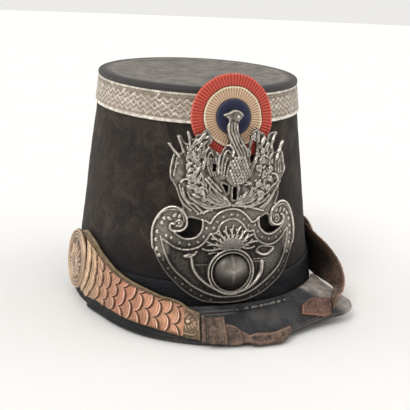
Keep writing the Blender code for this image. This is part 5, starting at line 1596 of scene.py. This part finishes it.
def add_tip(name, strap, look, replaced):
    """Engraved end plate, round at its free end."""
    share, place = grid((0.0, 1.0, TIP_GRID[0]), (0.0, 1.0, TIP_GRID[1]))
    narrow = 0.06 + 0.34 * share ** 7
    across = mix(narrow, 1.0 - narrow, place)
    along = strap.length - TIP_PLATE_LENGTH + (TIP_PLATE_LENGTH - GAP) * share
    length = TIP_PLATE_LENGTH / MM
    drawing = Relief(length * share, TIP_WIDTH * (place - 0.5))
    for side in (-1.0, 1.0):
        for i in range(TIP_LEAVES):
            drawing.leaf((1.2 + 2.3 * i, side * 0.4), (4.6 + 2.3 * i, side * (6.8 - 1.3 * i)), 1.0, 1.0)
    drawing.ridge(((0.5, 0.0), (6.0, 0.0), (11.6, 0.0)), 0.45, 0.9)
    inset = np.minimum((1.0 - share) * length, np.minimum(place, 1.0 - place) * TIP_WIDTH)
    border = bell(inset - 0.7, 0.45)
    relief = 0.40 * drawing.detail * (1.0 - border) + 0.45 * border
    high = GAP + SCALE_THICKNESS + (relief - 0.35 * bell(inset, 0.35)) * MM
    # Raised engraving and border are brighter: partly wear, partly painted highlight.
    shell(name, strap.points(along, across, high), strap.points(along, across, 0.0 * high + GAP), look,
          replaced, {"wear_and_highlight": clipped(0.10 + 0.55 * relief / 0.45)})


def add_stud(strap, look):
    """Small domed rivet in a dark ring, on the right tip plate."""
    along, middle = np.array(strap.length - STUD_PLACE * TIP_PLATE_LENGTH), np.array(0.5)
    centre = strap.points(along, middle, np.array(GAP + SCALE_THICKNESS))
    normal = strap.outward(along, middle)
    turn, share = np.meshgrid(full_turn(STUD_GRID[1]), np.linspace(1.0, DISC_HOLE, STUD_GRID[0]))
    radius = share * STUD_RADIUS * 1.25
    x, y = radius * np.sin(turn), radius * np.cos(turn)
    swell = np.sqrt(np.maximum(0.0, 1.0 - (share / STUD_RING) ** 2)) * (share <= STUD_RING)
    rise = (0.25 + 0.75 * swell) * STUD_RADIUS
    outer, inner = (on_disc(centre, normal, x, y, lift) for lift in (rise + GAP, 0.0))
    # The dome is brightened, partly wear and partly painted highlight, inside its dark ring.
    shell("tip_stud_right_fine", outer, inner, look, ["tip_stud_right"],
          {"wear_and_highlight": np.where(share > 0.74, 0.0, 0.85)}, wrap=True)


# Camera and studio
CAMERA_PLACE = (-0.1366, -0.4810, 0.2098)
CAMERA_TURN = -16.794
CAMERA_PITCH = 16.75
CAMERA_ROLL = 2.27
CAMERA_LENS = 60.12
WORLD_STRENGTH = 0.84
DIM_SIDE = (0.0, -0.999, 0.04)
DIM_STOPS = ((0.62, (1.0, 0.99, 0.975, 1.0)), (0.96, (0.12, 0.115, 0.11, 1.0)))
# Suns: name, where from, strength, spread in degrees and colour.
SUNS = (
    ("key", (-0.55, -0.45, 0.85), 1.00, 28.0, (1.0, 0.98, 0.95)),
    ("side", (-0.90, 0.35, 0.35), 0.55, 40.0, (1.0, 0.99, 0.98)),
    ("fill", (0.90, -0.10, 0.60), 0.45, 50.0, (1.0, 0.99, 0.98)),
)
FLOOR_RADIUS = 8.0
FLOOR_DROP = 0.0002


def add_camera():
    """The camera from the hat's right front, a little above it."""
    turn, pitch, roll = (math.radians(v) for v in (CAMERA_TURN, CAMERA_PITCH, CAMERA_ROLL))
    level = np.array([math.cos(turn), math.sin(turn), 0.0])
    ahead = np.array([-math.sin(turn), math.cos(turn), 0.0])
    forward = ahead * math.cos(pitch) - np.array([0.0, 0.0, math.sin(pitch)])
    up = np.cross(level, forward) * math.cos(roll) - level * math.sin(roll)
    columns = (np.cross(forward, up), up, -forward, np.array(CAMERA_PLACE) + HAT_MIDDLE)
    data = bpy.data.cameras.new("camera")
    data.sensor_width = 36.0
    data.lens = CAMERA_LENS
    data.clip_end = 50.0
    camera = bpy.data.objects.new("camera", data)
    bpy.context.scene.collection.objects.link(camera)
    rows = [[column[i] for column in columns] for i in range(3)]
    camera.matrix_world = Matrix(rows + [[0.0, 0.0, 0.0, 1.0]])
    bpy.context.scene.camera = camera


def add_sun(name, heading, strength, spread, colour):
    """Even light from a direction, softened over an angle in degrees."""
    data = bpy.data.lights.new(name, "SUN")
    data.energy = strength
    data.angle = math.radians(spread)
    data.color = colour
    light = bpy.data.objects.new(name, data)
    bpy.context.scene.collection.objects.link(light)
    light.rotation_mode = "QUATERNION"
    light.rotation_quaternion = (-Vector(heading)).to_track_quat("-Z", "Y")


def add_world():
    """Even pale surroundings that are darker towards the hat's front."""
    world = bpy.data.worlds.new("studio")
    world.use_nodes = True
    tree = world.node_tree
    background = tree.nodes["Background"]
    heading = tree.nodes.new("ShaderNodeTexCoord")
    nearness = tree.nodes.new("ShaderNodeVectorMath")
    nearness.operation = "DOT_PRODUCT"
    nearness.inputs[1].default_value = DIM_SIDE
    fade = tree.nodes.new("ShaderNodeValToRGB")
    for mark, (place, colour) in zip(fade.color_ramp.elements, DIM_STOPS):
        mark.position = place
        mark.color = colour
    tree.links.new(heading.outputs["Generated"], nearness.inputs[0])
    tree.links.new(nearness.outputs["Value"], fade.inputs["Fac"])
    tree.links.new(fade.outputs["Color"], background.inputs["Color"])
    background.inputs["Strength"].default_value = WORLD_STRENGTH
    bpy.context.scene.world = world
    bpy.context.scene.view_settings.view_transform = "Standard"


def add_floor():
    look = Look("floor", 0.9)
    speckle = look.noise(8.0, 3.0, 0.5)
    tone = look.ramp(speckle, ((0.3, (0.88, 0.875, 0.86)), (0.7, (0.90, 0.895, 0.885))))
    mesh = bpy.data.meshes.new("floor")
    bm = bmesh.new()
    bmesh.ops.create_circle(bm, cap_ends=True, segments=96, radius=FLOOR_RADIUS)
    bm.to_mesh(mesh)
    bm.free()
    mesh.materials.append(look.done(Base_Color=tone))
    floor = bpy.data.objects.new("floor", mesh)
    bpy.context.scene.collection.objects.link(floor)
    floor.location = (0.0, 0.0, -FLOOR_DROP)


# Main
def build_looks():
    return {
        "felt": felt_look(),
        "top": top_leather_look(),
        "lace": lace_look(),
        "black": black_leather_look(),
        "visor": visor_look(),
        "brown": brown_leather_look("brown leather", (0.034, 0.020, 0.014), (0.095, 0.056, 0.038),
                                    (0.170, 0.108, 0.074)),
        "red_brown": brown_leather_look("tab leather", (0.040, 0.016, 0.010), (0.110, 0.045, 0.028),
                                        (0.170, 0.085, 0.055)),
        "tan": brown_leather_look("strap leather", (0.060, 0.038, 0.018), (0.130, 0.085, 0.042),
                                  (0.200, 0.140, 0.075)),
        "pewter": pewter_look(),
        "scales": scale_look(),
        "boss": boss_look(),
        "red": cloth_look("red pleats", (0.300, 0.030, 0.020), (0.760, 0.130, 0.085)),
        "cream": cloth_look("cream pleats", (0.330, 0.200, 0.125), (0.900, 0.660, 0.450)),
        "navy": cloth_look("navy cloth", (0.016, 0.018, 0.042), (0.030, 0.036, 0.085)),
    }


def scale_nodes(side):
    return [f"scale_{side}_{row + 1:02d}" for row in range(SCALE_ROWS)]


def build():
    looks = build_looks()
    add_crown(looks)
    add_top(looks)
    add_lace(looks)
    add_base_band(looks)
    add_visor(looks)
    right, left = Strap(right_edges(), 1.0), Strap(left_edges(), -1.0)
    add_strap("strap_right_fine", right, looks["tan"], ["strap_right"], 0.45, 0.0)
    add_strap("strap_left_fine", left, looks["brown"], ["strap_left"], 0.10, 0.9)
    add_scales("scales_right", right, looks["scales"], scale_nodes("right"), 0.11, 0.985, (340, 90))
    add_scales("scales_left", left, looks["scales"], scale_nodes("left"), 0.05, 0.95, (200, 50))
    add_boss("boss_right_fine", right, looks["boss"], ["boss_right"])
    add_boss("boss_left_fine", left, looks["boss"], ["boss_left"])
    add_tip("tip_plate_right_fine", right, looks["boss"], ["tip_plate_right"])
    add_tip("tip_plate_left_fine", left, looks["boss"], ["tip_plate_left"])
    add_stud(right, looks["boss"])
    add_right_end(looks)
    add_keeper(looks)
    add_left_tab(looks)
    add_plate(looks)
    add_cockade(looks)
    add_camera()
    add_world()
    for sun in SUNS:
        add_sun(*sun)
    add_floor()


build()
